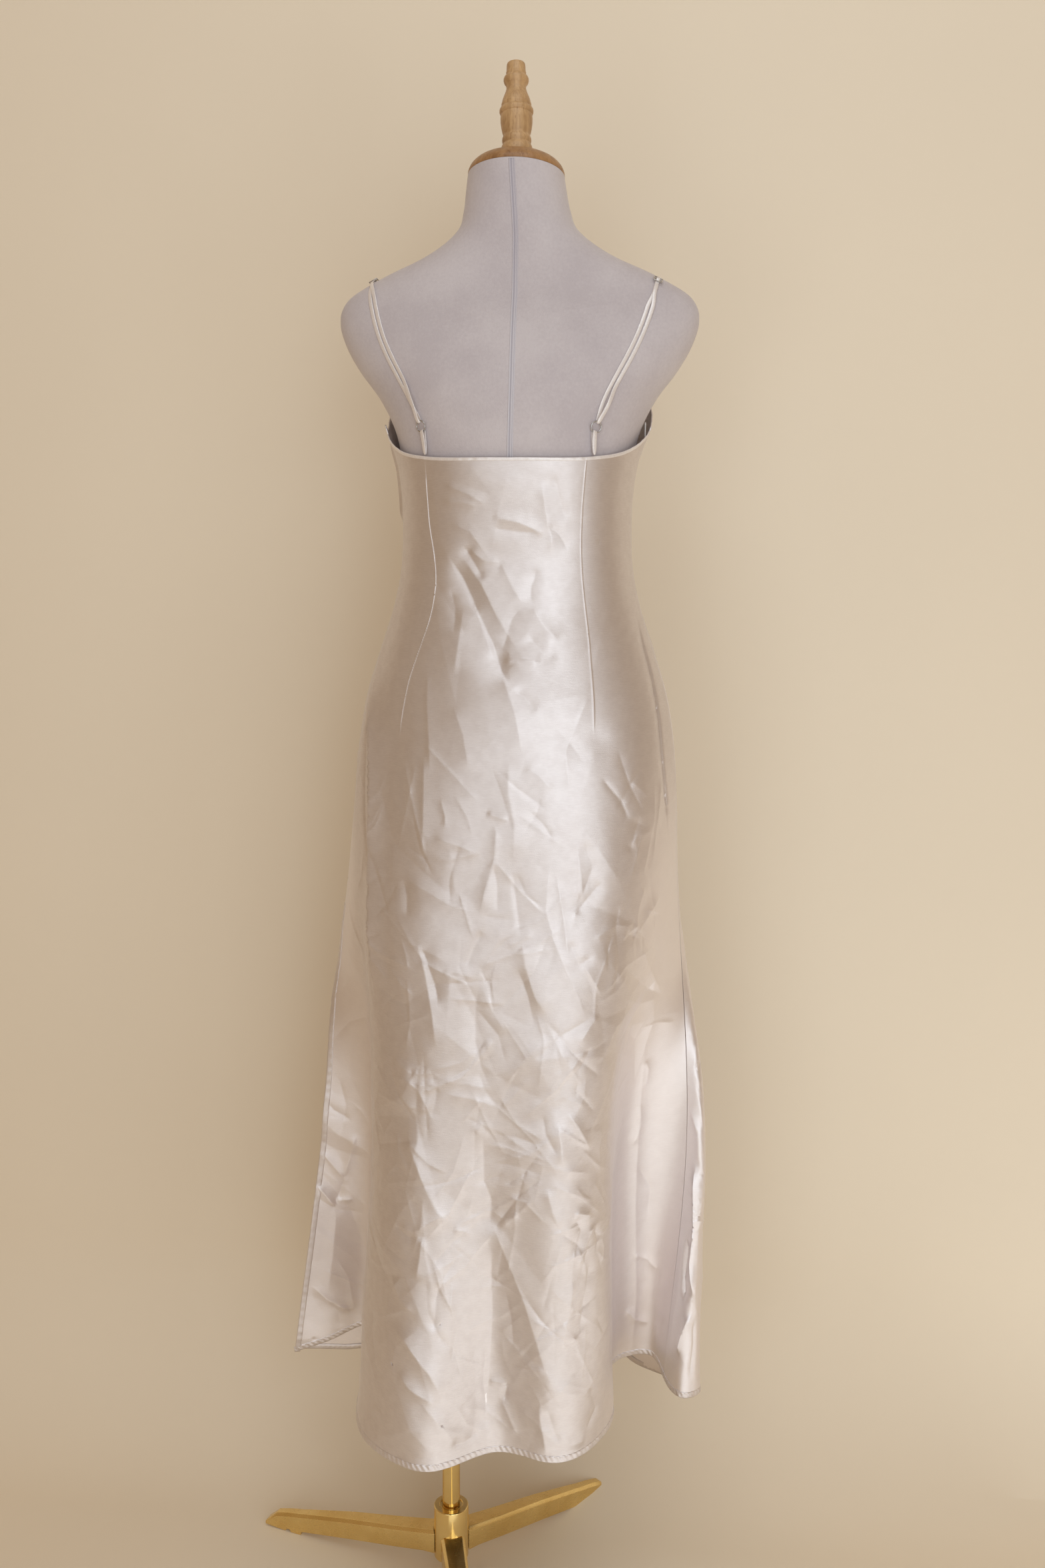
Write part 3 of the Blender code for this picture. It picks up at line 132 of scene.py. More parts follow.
# Placed creases of the back, in millimetres: rise (a trough is below 0), how far the flanks reach to the
# right and left of someone going along the line, and the line as distance across from the middle and
# height.
CREASES = (
    ("waist_fold", -6.4, 38, 66, ((-69, 1280), (-49, 1250), (-33, 1218), (-15, 1184), (-5, 1156),
                                  (8, 1136))),
    ("waist_roll", 2.6, 20, 40, ((-53, 1278), (-30, 1248), (-14, 1218), (-1, 1196), (14, 1176))),
    ("bodice_slant", 2.2, 60, 45, ((3, 1376), (-4, 1344), (-11, 1318), (-19, 1272))),
    ("bodice_v1", 1.6, 14, 16, ((36, 1356), (42, 1312), (47, 1296), (45, 1274))),
    ("bodice_v2", -1.2, 14, 16, ((41, 1308), (55, 1300), (65, 1282))),
    ("bodice_v3", -1.3, 18, 12, ((49, 1364), (56, 1334), (63, 1312))),
    ("slack_1", 1.5, 12, 14, ((-16, 1318), (11, 1312), (42, 1298))),
    ("slack_2", -1.2, 10, 14, ((-20, 1306), (8, 1302), (35, 1300))),
    ("slack_3", 1.1, 10, 12, ((-71, 1352), (-40, 1340), (-23, 1330))),
    ("slack_4", 1.0, 9, 10, ((-73, 1334), (-48, 1332), (-30, 1328))),
    ("slack_5", 0.8, 12, 16, ((-67, 1312), (-41, 1302), (-17, 1270))),
    ("facet_1", -1.6, 14, 16, ((-49, 1288), (-39, 1272), (-26, 1250))),
    ("facet_2", 1.6, 16, 14, ((-43, 1284), (-27, 1272), (-8, 1270))),
    ("cross_1", 1.7, 16, 20, ((-8, 1270), (7, 1240), (16, 1226))),
    ("cross_2", -1.5, 14, 14, ((32, 1264), (25, 1244), (25, 1226))),
    ("cross_3", 1.7, 26, 18, ((25, 1224), (38, 1204), (57, 1186))),
    ("cross_4", -1.4, 18, 22, ((16, 1224), (6, 1212), (-5, 1176))),
    ("cross_5", -1.8, 26, 24, ((22, 1196), (40, 1174), (57, 1168))),
    ("hip_1", 2.4, 20, 26, ((-5, 1166), (19, 1168), (39, 1164))),
    ("hip_2", -1.4, 14, 14, ((8, 1136), (21, 1128), (35, 1114))),
    ("hip_3", 1.6, 22, 28, ((-5, 1156), (11, 1112), (20, 1068))),
    ("hip_4", 1.3, 24, 22, ((-57, 1120), (-44, 1088), (-36, 1048))),
    ("pleat", 1.1, 9, 16, ((-88, 1156), (-87, 1118), (-84, 1084), (-81, 1044))),
    ("hip_5", -1.2, 26, 26, ((49, 1104), (72, 1080), (90, 1056))),
    ("lobe_1", 1.6, 30, 22, ((-49, 1224), (-52, 1190), (-57, 1148))),
    ("lobe_2", -1.6, 22, 22, ((-65, 1244), (-58, 1218), (-59, 1190))),
    ("lobe_3", 2.0, 26, 26, ((-38, 1228), (-25, 1194), (-13, 1166))),
    ("pleat_low", 1.2, 10, 16, ((-89, 1072), (-88, 1012), (-88, 954))),
    ("seat_1", 1.2, 12, 14, ((-77, 978), (-48, 970), (-20, 960))),
    ("zig_1", 1.8, 12, 12, ((-17, 1006), (-4, 1002), (7, 998))),
    ("zig_2", 2.4, 16, 18, ((-11, 1002), (-6, 984), (-7, 958), (-18, 918), (-23, 892))),
    ("zig_3", -2.0, 14, 16, ((-19, 880), (-30, 856), (-38, 834))),
    ("zig_4", -1.5, 14, 14, ((-9, 952), (-4, 928), (-4, 896))),
    ("spine_1", 2.4, 24, 30, ((6, 1062), (6, 1028), (13, 996), (12, 950))),
    ("spine_2", -2.0, 18, 22, ((12, 944), (17, 908), (22, 872))),
    ("spine_3", 3.0, 20, 30, ((22, 872), (28, 840), (39, 808), (52, 788))),
    ("spine_4", -2.0, 18, 20, ((18, 842), (31, 808), (40, 770))),
    ("left_1", 1.8, 22, 16, ((-112, 930), (-78, 916), (-53, 904), (-27, 898))),
    ("left_2", -1.6, 16, 20, ((-112, 928), (-107, 910), (-106, 886))),
    ("left_3", -2.6, 22, 18, ((-89, 860), (-78, 834), (-70, 810), (-66, 792))),
    ("left_4", 1.8, 16, 20, ((-94, 864), (-83, 830), (-73, 780), (-68, 742))),
    ("mid_1", 1.1, 14, 14, ((-64, 830), (-47, 832), (-26, 826))),
    ("mid_2", -2.1, 24, 20, ((-21, 824), (-26, 798), (-25, 756), (-18, 726), (-7, 700))),
    ("mid_3", 1.4, 18, 20, ((-21, 820), (-7, 790), (10, 764))),
    ("mid_4", 1.4, 16, 16, ((50, 764), (28, 736), (5, 706))),
    ("mid_5", 1.4, 18, 16, ((56, 770), (73, 740), (93, 710))),
    ("mid_6", 1.1, 16, 16, ((2, 884), (-7, 858), (-19, 836))),
    ("mid_7", -1.0, 14, 14, ((-20, 894), (2, 892), (15, 890))),
    ("right_1", -1.7, 16, 16, ((111, 932), (93, 912), (79, 896))),
    ("right_2", 1.5, 16, 16, ((112, 786), (99, 770), (87, 754))),
    ("right_3", -1.4, 20, 20, ((88, 978), (99, 948), (96, 918))),
    ("right_4", -1.5, 18, 18, ((74, 872), (85, 842), (105, 854))),
    ("right_5", 1.6, 20, 20, ((22, 1056), (39, 1046), (54, 1030))),
    ("star_1", 2.1, 18, 20, ((203, 904), (181, 882), (161, 862))),
    ("star_2", -1.6, 14, 16, ((145, 870), (161, 862))),
    ("star_3", 2.2, 20, 22, ((161, 862), (193, 826), (244, 776))),
    ("star_4", -1.6, 16, 16, ((137, 836), (189, 802), (245, 774))),
    ("star_5", 1.1, 12, 12, ((171, 922), (163, 896), (161, 862))),
    ("star_6", 1.1, 14, 14, ((145, 798), (201, 774), (237, 774))),
    ("side_1", -1.5, 16, 18, ((157, 998), (148, 974), (143, 958))),
    ("side_2", 1.6, 14, 16, ((179, 980), (155, 978), (143, 964))),
    ("side_3", 1.8, 14, 14, ((240, 696), (250, 682), (254, 658))),
    ("tri_1", 1.6, 18, 16, ((-123, 728), (-109, 720), (-97, 714))),
    ("tri_2", 1.0, 12, 12, ((-97, 714), (-74, 718))),
    ("tri_3", -1.1, 14, 14, ((-70, 716), (-76, 698))),
    ("tri_4", 1.1, 14, 16, ((-62, 710), (-33, 708), (-5, 702))),
    ("c_1", 1.6, 14, 16, ((-122, 708), (-104, 706), (-90, 698), (-81, 684), (-74, 668))),
    ("c_2", 1.2, 12, 12, ((-93, 702), (-68, 706))),
    ("c_3", -1.4, 14, 14, ((-67, 704), (-69, 686), (-74, 668))),
    ("c_4", 1.4, 16, 14, ((-58, 696), (-29, 692), (2, 682))),
    ("c_5", -1.2, 16, 16, ((-23, 724), (-13, 700), (3, 680))),
    ("c_6", 1.1, 14, 14, ((37, 720), (22, 702), (5, 682))),
    ("c_7", 1.2, 12, 14, ((-16, 666), (-25, 652))),
    ("c_8", 1.0, 12, 16, ((-18, 666), (5, 654), (32, 638), (69, 620))),
    ("c_9", -0.9, 12, 12, ((-14, 654), (23, 650), (57, 642))),
    ("c_10", 0.8, 10, 12, ((-14, 636), (26, 628), (69, 618), (114, 606))),
    ("c_11", -0.7, 10, 12, ((-13, 620), (20, 618), (54, 610))),
    ("valley_1", -3.2, 26, 34, ((-16, 654), (-14, 598), (-6, 576), (-8, 534))),
    ("valley_2", -4.0, 30, 40, ((-6, 534), (-6, 490), (-5, 446), (-8, 382), (-12, 336), (-12, 286))),
    ("ridge_1", 3.6, 30, 30, ((-11, 562), (9, 516), (34, 460), (56, 394), (75, 348))),
    ("ridge_2", 3.0, 26, 26, ((-104, 652), (-93, 622), (-80, 594), (-66, 564), (-48, 544))),
    ("ridge_3", 1.7, 12, 12, ((-48, 544), (-28, 538))),
    ("ridge_4", 1.6, 12, 12, ((-118, 542), (-92, 538), (-73, 552), (-51, 564))),
    ("ridge_5", -1.6, 12, 14, ((-117, 542), (-105, 534), (-89, 532))),
    ("ridge_6", 2.2, 14, 14, ((-82, 536), (-85, 512), (-90, 484))),
    ("ridge_7", 2.6, 18, 22, ((-125, 484), (-112, 460), (-93, 448))),
    ("ridge_8", 3.0, 18, 24, ((-124, 428), (-104, 416), (-79, 386), (-62, 352))),
    ("ridge_9", 2.4, 16, 20, ((-116, 382), (-102, 366), (-69, 350))),
    ("ridge_10", -2.0, 16, 16, ((-65, 486), (-69, 452), (-72, 428))),
    ("ridge_11", 2.0, 16, 18, ((-89, 354), (-70, 328), (-50, 298))),
    ("ridge_12", -1.8, 14, 16, ((-59, 300), (-39, 298), (-17, 308))),
    ("ridge_13", 1.6, 14, 16, ((-43, 340), (-11, 326), (18, 304))),
    ("small_1", 1.9, 12, 12, ((67, 670), (71, 644), (74, 620))),
    ("small_2", -1.8, 12, 12, ((50, 680), (54, 656), (68, 632))),
    ("small_3", 1.8, 12, 14, ((76, 682), (92, 660), (109, 632))),
    ("small_4", 2.2, 14, 16, ((56, 598), (64, 568), (72, 550))),
    ("small_5", 2.2, 12, 14, ((88, 566), (112, 558))),
    ("small_6", -2.2, 14, 14, ((88, 564), (98, 544), (90, 516))),
    ("small_7", 1.8, 14, 14, ((117, 548), (104, 524), (94, 502))),
    ("small_8", 1.5, 12, 12, ((45, 588), (30, 570), (1, 542))),
    ("small_9", 1.3, 12, 12, ((-6, 564), (9, 554), (27, 564))),
    ("fold_r1", 2.4, 18, 20, ((90, 494), (84, 454), (75, 408))),
    ("fold_r2", -2.4, 18, 18, ((114, 508), (105, 464), (98, 418))),
    ("crumple_1", 2.2, 12, 12, ((-9, 362), (11, 360))),
    ("crumple_2", -2.0, 12, 12, ((12, 360), (8, 340))),
    ("crumple_3", 2.0, 14, 14, ((5, 340), (18, 314), (24, 302))),
    ("crumple_4", 2.6, 16, 16, ((50, 346), (56, 314), (60, 286))),
    ("crumple_5", -2.0, 14, 14, ((60, 344), (68, 316), (74, 300))),
    ("crumple_6", 1.5, 12, 12, ((17, 382), (40, 386), (60, 388))),
    ("crumple_7", 1.8, 14, 16, ((72, 316), (86, 298), (110, 296))),
    ("crumple_8", -1.8, 14, 14, ((111, 360), (128, 326), (109, 306))),
    ("crumple_9", 2.0, 16, 16, ((24, 336), (47, 326), (77, 296))),
    ("flap_1", 2.2, 12, 16, ((-362, 554), (-353, 532), (-346, 514))),
    ("flap_2", -1.8, 12, 12, ((-346, 514), (-359, 494), (-370, 478))),
    ("flap_3", 2.4, 12, 14, ((-382, 510), (-375, 492), (-370, 476))),
    ("flap_4", 1.2, 14, 14, ((-369, 478), (-379, 450), (-400, 404), (-427, 352))),
    ("flap_5", 2.4, 12, 12, ((-311, 578), (-329, 546), (-345, 518))),
    ("flap_6", 2.1, 10, 10, ((-367, 484), (-345, 486))),
    ("flap_7", -1.6, 12, 12, ((-336, 622), (-329, 608), (-312, 594))),
    ("flap_8", 1.6, 12, 12, ((-439, 372), (-428, 348), (-407, 322))),
    ("flap_9", -1.2, 12, 12, ((-427, 344), (-423, 326), (-430, 300))),
    ("flap_10", 1.2, 12, 12, ((-395, 408), (-391, 374), (-404, 320))),
    ("left_gap", 9.5, 3.5, 30, ((-178, 1158), (-172, 1104), (-166, 1063), (-160, 1008), (-160, 924),
                                (-157, 848), (-156, 780))),
    ("left_strip", -1.6, 8, 8, ((-184, 1100), (-180, 1030), (-177, 960), (-172, 880))),
    ("seam_right", -2.6, 12, 4, ((157, 1226), (165, 1182), (176, 1145), (184, 1110), (192, 1060),
                                 (204, 1010), (212, 960))),
    ("flap_turn", 11.0, 40, 64, ((-285, 860), (-291, 800), (-311, 700), (-345, 600), (-387, 500),
                                 (-435, 400), (-488, 300), (-545, 180))),
    ("right_shine", 2.6, 22, 22, ((226, 740), (240, 690), (283, 508), (322, 365), (335, 300), (345, 240))),
    ("hang_1", 1.6, 12, 14, ((250, 640), (262, 610), (258, 580))),
    ("hang_2", -1.4, 10, 12, ((268, 560), (300, 520), (306, 480))),
    ("hang_3", 1.3, 9, 9, ((300, 430), (322, 420), (340, 404))),
    ("hang_4", 1.8, 10, 12, ((310, 352), (328, 334), (350, 325))),
)
# Quieter creases of the front, in the same form.
FRONT_CREASES = (
    ("cowl_1", 3.0, 16, 20, ((-70, 1385), (-35, 1352), (0, 1342), (35, 1352), (70, 1385))),
    ("cowl_2", 2.4, 16, 22, ((-80, 1352), (-35, 1316), (0, 1304), (38, 1318), (82, 1352))),
    ("cowl_3", -2.0, 18, 18, ((-60, 1362), (0, 1324), (60, 1364))),
    ("waist_1", 1.8, 16, 22, ((-110, 1250), (-60, 1225), (-20, 1232))),
    ("waist_2", -1.6, 16, 18, ((100, 1262), (60, 1236), (25, 1240))),
    ("lap_1", 2.2, 20, 26, ((-90, 1080), (-70, 960), (-84, 840))),
    ("lap_2", 2.4, 24, 22, ((60, 1040), (84, 900), (70, 760), (90, 640))),
    ("lap_3", -2.2, 22, 20, ((10, 930), (-6, 800), (12, 660), (0, 520))),
    ("shin_1", 2.6, 22, 26, ((-120, 700), (-150, 560), (-140, 420), (-170, 300))),
    ("shin_2", -2.4, 20, 24, ((80, 560), (120, 420), (110, 300))),
    ("shin_3", 2.0, 16, 18, ((-40, 600), (-10, 520), (-50, 440), (-30, 360))),
    ("shin_4", 2.2, 18, 16, ((160, 700), (190, 560), (230, 470), (250, 340))),
    ("gather_1", 8.0, 9, 10, ((206, 1420), (203, 1380), (198, 1345), (188, 1300))),
    ("gather_2", -4.0, 10, 8, ((190, 1425), (187, 1385), (184, 1350))),
    ("curl_1", 9.0, 6, 8, ((-326, 570), (-331, 490), (-337, 440), (-338, 405), (-341, 378))),
    ("curl_2", -6.0, 7, 7, ((-346, 470), (-352, 420), (-350, 385))),
    ("curl_3", 5.0, 7, 7, ((-341, 378), (-352, 350), (-362, 320))),
    ("curl_4", -3.0, 8, 8, ((-336, 372), (-338, 335), (-350, 290))),
    ("curl_5", 2.6, 9, 7, ((-322, 640), (-316, 600), (-322, 560))),
)
# Soft unevenness all over: its size, how much taller than wide it is, and rise, in millimetres.
UNEVEN = ((95, 2.0, 1.6), (30, 1.6, 0.3))
# Crumpled facets all over: their width, how much taller than wide they are, and how far their corners rise.
FACET_SIZE = 0.044
FACET_STRETCH = 1.45
FACET_RISE = 1.35 * MM
FACET_LOW = (-0.56, 0.15)  # the spread of the facets, across and up
FACET_HIGH = (0.56, 1.55)
CREASE_SPACING = 3.0 * MM
CREASE_RISE = 0.78
CREASE_SIDES = (-3.6, -1.3, 0.0, 1.3, 3.6)  # rows of mesh points beside a crease, in millimetres
DART_SIDES = (-4.2, -2.2, -1.3, -0.8, -0.4, 0.0, 0.4, 0.8, 1.3, 2.2, 4.2)
SHEET_SPACING = 5.6 * MM

# The jersey body, up to its neck.
TORSO = (
    # z, half_width, back, front
    (0.930, 0.1600, 0.1000, 0.0950),
    (0.980, 0.1660, 0.1090, 0.0980),
    (1.030, 0.1680, 0.1130, 0.0990),
    (1.080, 0.1610, 0.1080, 0.0970),
    (1.140, 0.1420, 0.0880, 0.0930),
    (1.200, 0.1220, 0.0690, 0.0900),
    (1.250, 0.1160, 0.0660, 0.0920),
    (1.310, 0.1190, 0.0780, 0.0990),
    (1.370, 0.1270, 0.0930, 0.1060),
    (1.410, 0.1350, 0.0965, 0.1010),
    (1.445, 0.1525, 0.0960, 0.0900),
    (1.475, 0.1750, 0.0900, 0.0780),
    (1.503, 0.1905, 0.0810, 0.0670),
    (1.525, 0.1965, 0.0710, 0.0580),
    (1.540, 0.1945, 0.0630, 0.0520),
    (1.553, 0.1850, 0.0570, 0.0470),
    (1.566, 0.1640, 0.0530, 0.0430),
    (1.578, 0.1400, 0.0500, 0.0410),
    (1.592, 0.1080, 0.0480, 0.0410),
    (1.606, 0.0840, 0.0460, 0.0440),
    (1.622, 0.0655, 0.0480, 0.0470),
    (1.643, 0.0580, 0.0500, 0.0500),
    (1.663, 0.0548, 0.0515, 0.0520),
    (1.6795, 0.0525, 0.0525, 0.0525),
)
BUST_POINT = (0.074, 1.385)
BUST_RISE = 0.020
BUST_SPREAD = 0.042
NECK_ROOT = 1.600
NECK_TOP = 1.6795
NECK_TILT = math.radians(11.0)
NECK_CENTRE = (0.004, -0.012)
FINIAL_LEAN = math.radians(2.0)
FINIAL_FOOT = 0.0217  # above the neck's middle, along its tilt
TAPE_TOP = 1.678
TAPE_BOTTOM = 1.350

# Turned profiles, radius and height in millimetres.
FINIAL_PROFILE = (
    (17.5, 0.0), (17.7, 2.0), (17.5, 6.0), (17.0, 10.0), (16.2, 12.6), (15.2, 14.0), (14.9, 15.0),
    (15.4, 16.2), (15.9, 18.0), (15.9, 19.6), (15.4, 21.6), (14.7, 23.0), (14.4, 24.2), (14.6, 25.2),
    (15.3, 26.6), (16.1, 30.0), (16.8, 34.0), (17.3, 38.5), (17.4, 42.5), (17.2, 45.6), (16.9, 47.2),
    (17.7, 48.0), (18.4, 49.4), (18.5, 50.8), (18.3, 52.2), (17.6, 53.4), (16.6, 54.2), (16.0, 55.2),
    (16.0, 56.4), (16.3, 57.4), (16.2, 58.6), (15.7, 59.8), (15.3, 61.8), (14.5, 64.6), (13.2, 67.8),
    (12.0, 70.8), (11.0, 74.0), (10.6, 76.4), (10.9, 78.6), (11.8, 80.2), (13.0, 81.8), (13.7, 84.2),
    (13.6, 86.4), (12.6, 88.4), (11.2, 89.8), (10.6, 90.8), (10.7, 92.0), (10.9, 93.0), (10.5, 94.0),
    (10.3, 96.5), (10.2, 100.0), (9.9, 102.4), (9.2, 103.4),
)
CAP_PROFILE = (
    (51.2, 0.0), (52.2, 0.5), (52.5, 2.0), (52.2, 3.8), (51.3, 6.2), (50.3, 8.2), (48.5, 10.4),
    (46.6, 12.4), (44.4, 14.1), (41.4, 15.9), (38.0, 17.3), (34.2, 18.5), (30.0, 19.6), (25.5, 20.2),
    (22.0, 20.5),
)
POLE_AXIS = (0.076, 0.012)
POLE_RADIUS = 0.011
POLE_BORE = 0.0113
PLATE_UNDERSIDE = 0.9174
# Line of the form's back seam: height and degrees round from the middle of the back.
TAPE_LINE = (
    (1.6785, 1.0), (1.640, 1.7), (1.590, 0.7), (1.548, 0.6), (1.500, 0.8), (1.443, 1.1), (1.378, 0.8),
)

# The paper sweep, and the camera with its turn in degrees.
WALL_Y = -0.36
SWEEP_HALF_WIDTH = 3.2
SWEEP_FRONT = 4.5
SWEEP_TOP = 4.2
SWEEP_BEND = 0.26
CAMERA_PLACE = Vector((-0.246, 1.682, 1.304))
CAMERA_YAW = 6.2
CAMERA_PITCH = 9.8
CAMERA_ROLL = 0.3


# ---------------------------------------------------------------- curves and tables
def column(table, index):
    return np.array([row[index] for row in table], float)


def smooth(at, keys, values):
    """Values on a smooth curve through the table, whatever order its keys run in."""
    keys = np.asarray(keys, float)
    values = np.asarray(values, float)
    if keys[0] > keys[-1]:
        keys = keys[::-1]
        values = values[::-1]
    slopes = np.gradient(values, keys, axis=0)
    at = np.clip(at, keys[0], keys[-1])
    i = np.clip(np.searchsorted(keys, at) - 1, 0, len(keys) - 2)
    span = keys[i + 1] - keys[i]
    t = (at - keys[i]) / span
    parts = (
        (1 + 2 * t) * (1 - t) ** 2,
        t * (1 - t) ** 2 * span,
        t * t * (3 - 2 * t),
        t * t * (t - 1) * span,
    )
    if values.ndim > 1:
        parts = [np.expand_dims(p, -1) for p in parts]
    return parts[0] * values[i] + parts[1] * slopes[i] + parts[2] * values[i + 1] + parts[3] * slopes[i + 1]


def ease(t):
    t = np.clip(t, 0.0, 1.0)
    return t * t * (3 - 2 * t)


def unit(vectors):
    return vectors / np.maximum(np.linalg.norm(vectors, axis=-1, keepdims=True), 1e-12)


def distances(line):
    """How far along a line each of its points lies."""
    return np.concatenate([[0], np.cumsum(np.linalg.norm(np.diff(line, axis=0), axis=1))])


def read_at(at, keys, rows):
    """Rows of values, read between their keys."""
    return np.stack([np.interp(at, keys, rows[:, i]) for i in range(rows.shape[1])], -1)


def cells_of(spots, cell):
    """The square of a grid that each spot falls in."""
    return [tuple(key) for key in np.round(spots / cell).astype(int).tolist()]


def round_section(half_width, back, front, degrees, roundness=ROUNDNESS):
    """Points of a squared ellipse whose depth differs from back to front."""
    angle = np.radians(degrees)
    c = np.cos(angle)
    s = np.sin(angle)
    depth = np.where(s > 0, back, front)
    x = half_width * np.copysign(np.abs(c) ** roundness, c)
    y = depth * np.copysign(np.abs(s) ** roundness, s)
    return np.stack([x, y], -1)


# ---------------------------------------------------------------- the cloth's plan
def bodice_point(degrees, z):
    sizes = [smooth(z, column(BODICE, 0), column(BODICE, i)) for i in (1, 2, 3)]
    return round_section(*sizes, degrees)


def fold_path(fold, z):
    """Where one plan point stands at this height."""
    _, ribs, hips, *places = fold
    stations = [np.array(places[i : i + 2]) for i in (0, 2, 4)]
    if z >= HIP_HEIGHT:
        turn = ease((RIBS_HEIGHT - z) / (RIBS_HEIGHT - HIP_HEIGHT))
        return bodice_point(ribs + (hips - ribs) * turn, z)
    if z < STATIONS[-1]:
        fall = (stations[2] - stations[1]) / (STATIONS[2] - STATIONS[1])
        return stations[2] + fall * (z - STATIONS[2])
    keys = [HIP_HEIGHT + 0.02, HIP_HEIGHT, *STATIONS]
    values = [bodice_point(hips, HIP_HEIGHT + 0.02), bodice_point(hips, HIP_HEIGHT), *stations]
    return smooth(z, keys, values)


def cloth_plan(z):
    """The whole garment's plan at one height: plan points, steps between them and their bends."""
    points = [fold_path(fold, z) for fold in BACK_FOLDS + FRONT_FOLDS]
    opening = max(0.0, (SLIT_TOP - z) / (SLIT_TOP - HEM_HEIGHT))
    points.append(points[0] + opening * np.array(FRONT_EDGE_SHIFT))
    points = np.array(points)
    closed = 1 - ease((SLIT_TOP + SEAM_TURN / 2 - z) / SEAM_TURN)
    steps = np.sqrt(np.linalg.norm(np.diff(points, axis=0), axis=1))

    def slope(before, after):
        step = after - before
        return step / math.sqrt(np.linalg.norm(step))

    across = slope(points[-2], points[1]) * 0.75
    start = across * closed + slope(points[0], points[1]) * (1 - closed)
    end = across * closed + slope(points[-2], points[-1]) * (1 - closed)
    count = len(points)
    matrix = np.zeros((count, count))
    right = np.zeros((count, 2))
    matrix[0, :2] = (2 * steps[0], steps[0])
    right[0] = 6 * ((points[1] - points[0]) / steps[0] - start)
    matrix[-1, -2:] = (steps[-1], 2 * steps[-1])
    right[-1] = 6 * (end - (points[-1] - points[-2]) / steps[-1])
    for i in range(1, count - 1):
        matrix[i, i - 1 : i + 2] = (steps[i - 1], 2 * (steps[i - 1] + steps[i]), steps[i])
        right[i] = 6 * ((points[i + 1] - points[i]) / steps[i] - (points[i] - points[i - 1]) / steps[i - 1])
    return points, steps, np.linalg.solve(matrix, right)


def on_plan(plan, places):
    """Points of the plan's curve at places counted in plan points."""
    points, steps, bends = plan
    i = np.clip(np.floor(places).astype(int), 0, len(points) - 2)
    h = steps[i][:, None]
    t = (places - i)[:, None] * h
    u = h - t
    return (
        bends[i] * u**3 / (6 * h)
        + bends[i + 1] * t**3 / (6 * h)
        + (points[i] / h - bends[i] * h / 6) * u
        + (points[i + 1] / h - bends[i + 1] * h / 6) * t
    )


class ClothForm:
    """The garment's smooth outside, sampled finely once and read at any place and height."""

    PLACE_STEP = 0.02
    LEVEL_STEP = 0.0025
    TOP = 1.475
    BOTTOM = 0.220

    def __init__(self):
        self.places = np.arange(0, FRONT_EDGE + self.PLACE_STEP / 2, self.PLACE_STEP)
        self.heights = np.arange(self.TOP, self.BOTTOM, -self.LEVEL_STEP)
        plans = [cloth_plan(z) for z in self.heights]
        self.plan = np.array([on_plan(plan, self.places) for plan in plans])
        steps = np.linalg.norm(np.diff(self.plan, axis=1), axis=2)
        self.lengths = np.concatenate([np.zeros((len(steps), 1)), np.cumsum(steps, axis=1)], axis=1)

    def read(self, table, places, z):
        """Bilinear value of a table of levels and places."""
        a = np.clip((self.TOP - z) / self.LEVEL_STEP, 0, len(self.heights) - 1.001)
        b = np.clip(places / self.PLACE_STEP, 0, len(self.places) - 1.001)
        i = a.astype(int)
        j = b.astype(int)
        s = a - i
        t = b - j
        if table.ndim > 2:
            s = s[..., None]
            t = t[..., None]
        upper = table[i, j] * (1 - t) + table[i, j + 1] * t
        lower = table[i + 1, j] * (1 - t) + table[i + 1, j + 1] * t
        return upper * (1 - s) + lower * s

    def points(self, places, z):
        flat = self.read(self.plan, places, z)
        return np.concatenate([flat, z[..., None]], -1)

    def across(self, places, z, centre):
        """Distance along the cloth from the panel's centre line."""
        here = self.read(self.lengths, places, z)
        return here - self.read(self.lengths, np.full_like(places, centre), z)


def neckline(table, degrees):
    from_side = np.minimum(np.abs(degrees % 180), 180 - np.abs(degrees % 180))
    return smooth(from_side, column(table, 0), column(table, 1))


def dart_place(dart, z):
    """Plan point of a dart's line. Below its tip the line runs straight on."""
    keys = column(dart[1], 0)
    return smooth(z, keys, column(dart[1], 1))


def panel_columns(first, last, spacing, darts, z):
    """Places of a panel's columns at each height, gathered closely along the darts' lines."""
    marks = [first, *[dart_place(dart, 1.15) for dart in darts], last]
    base = []
    near = np.array((-3.4, -1.6, -0.8, 0.0, 0.8, 1.6, 3.4)) * MM
    for i in range(len(marks) - 1):
        count = max(2, round((marks[i + 1] - marks[i]) / spacing))
        base.extend(np.linspace(marks[i], marks[i + 1], count, endpoint=False))
    base.append(last)
    base = np.array(base)
    for mark in marks[1:-1]:
        base = base[np.abs(base - mark) > near[-1] * 1.4 / DART_PITCH]
        base = np.sort(np.concatenate([base, mark + near / DART_PITCH]))
    if len(base) % 2 == 0:
        base = np.sort(np.append(base, (base[0] + base[1]) / 2))
    if not darts:
        return np.repeat(base[None], len(z), axis=0)
    lines = [np.full(len(z), first)]
    lines += [np.array(dart_place(dart, z)) for dart in darts]
    lines += [np.full(len(z), last)]
    return np.array([np.interp(base, marks, [line[i] for line in lines]) for i in range(len(z))])


def row_shares(rows):
    """How far down a panel each row lies: a few close rows at both ends and even ones between."""
    top = np.array((0.0, 1.6, 3.2, 5.2)) * MM
    middle = np.linspace(0.0085, 1.0 - 0.0085, rows - 8)
    return np.concatenate([top, middle, (1.0 - top)[::-1]])


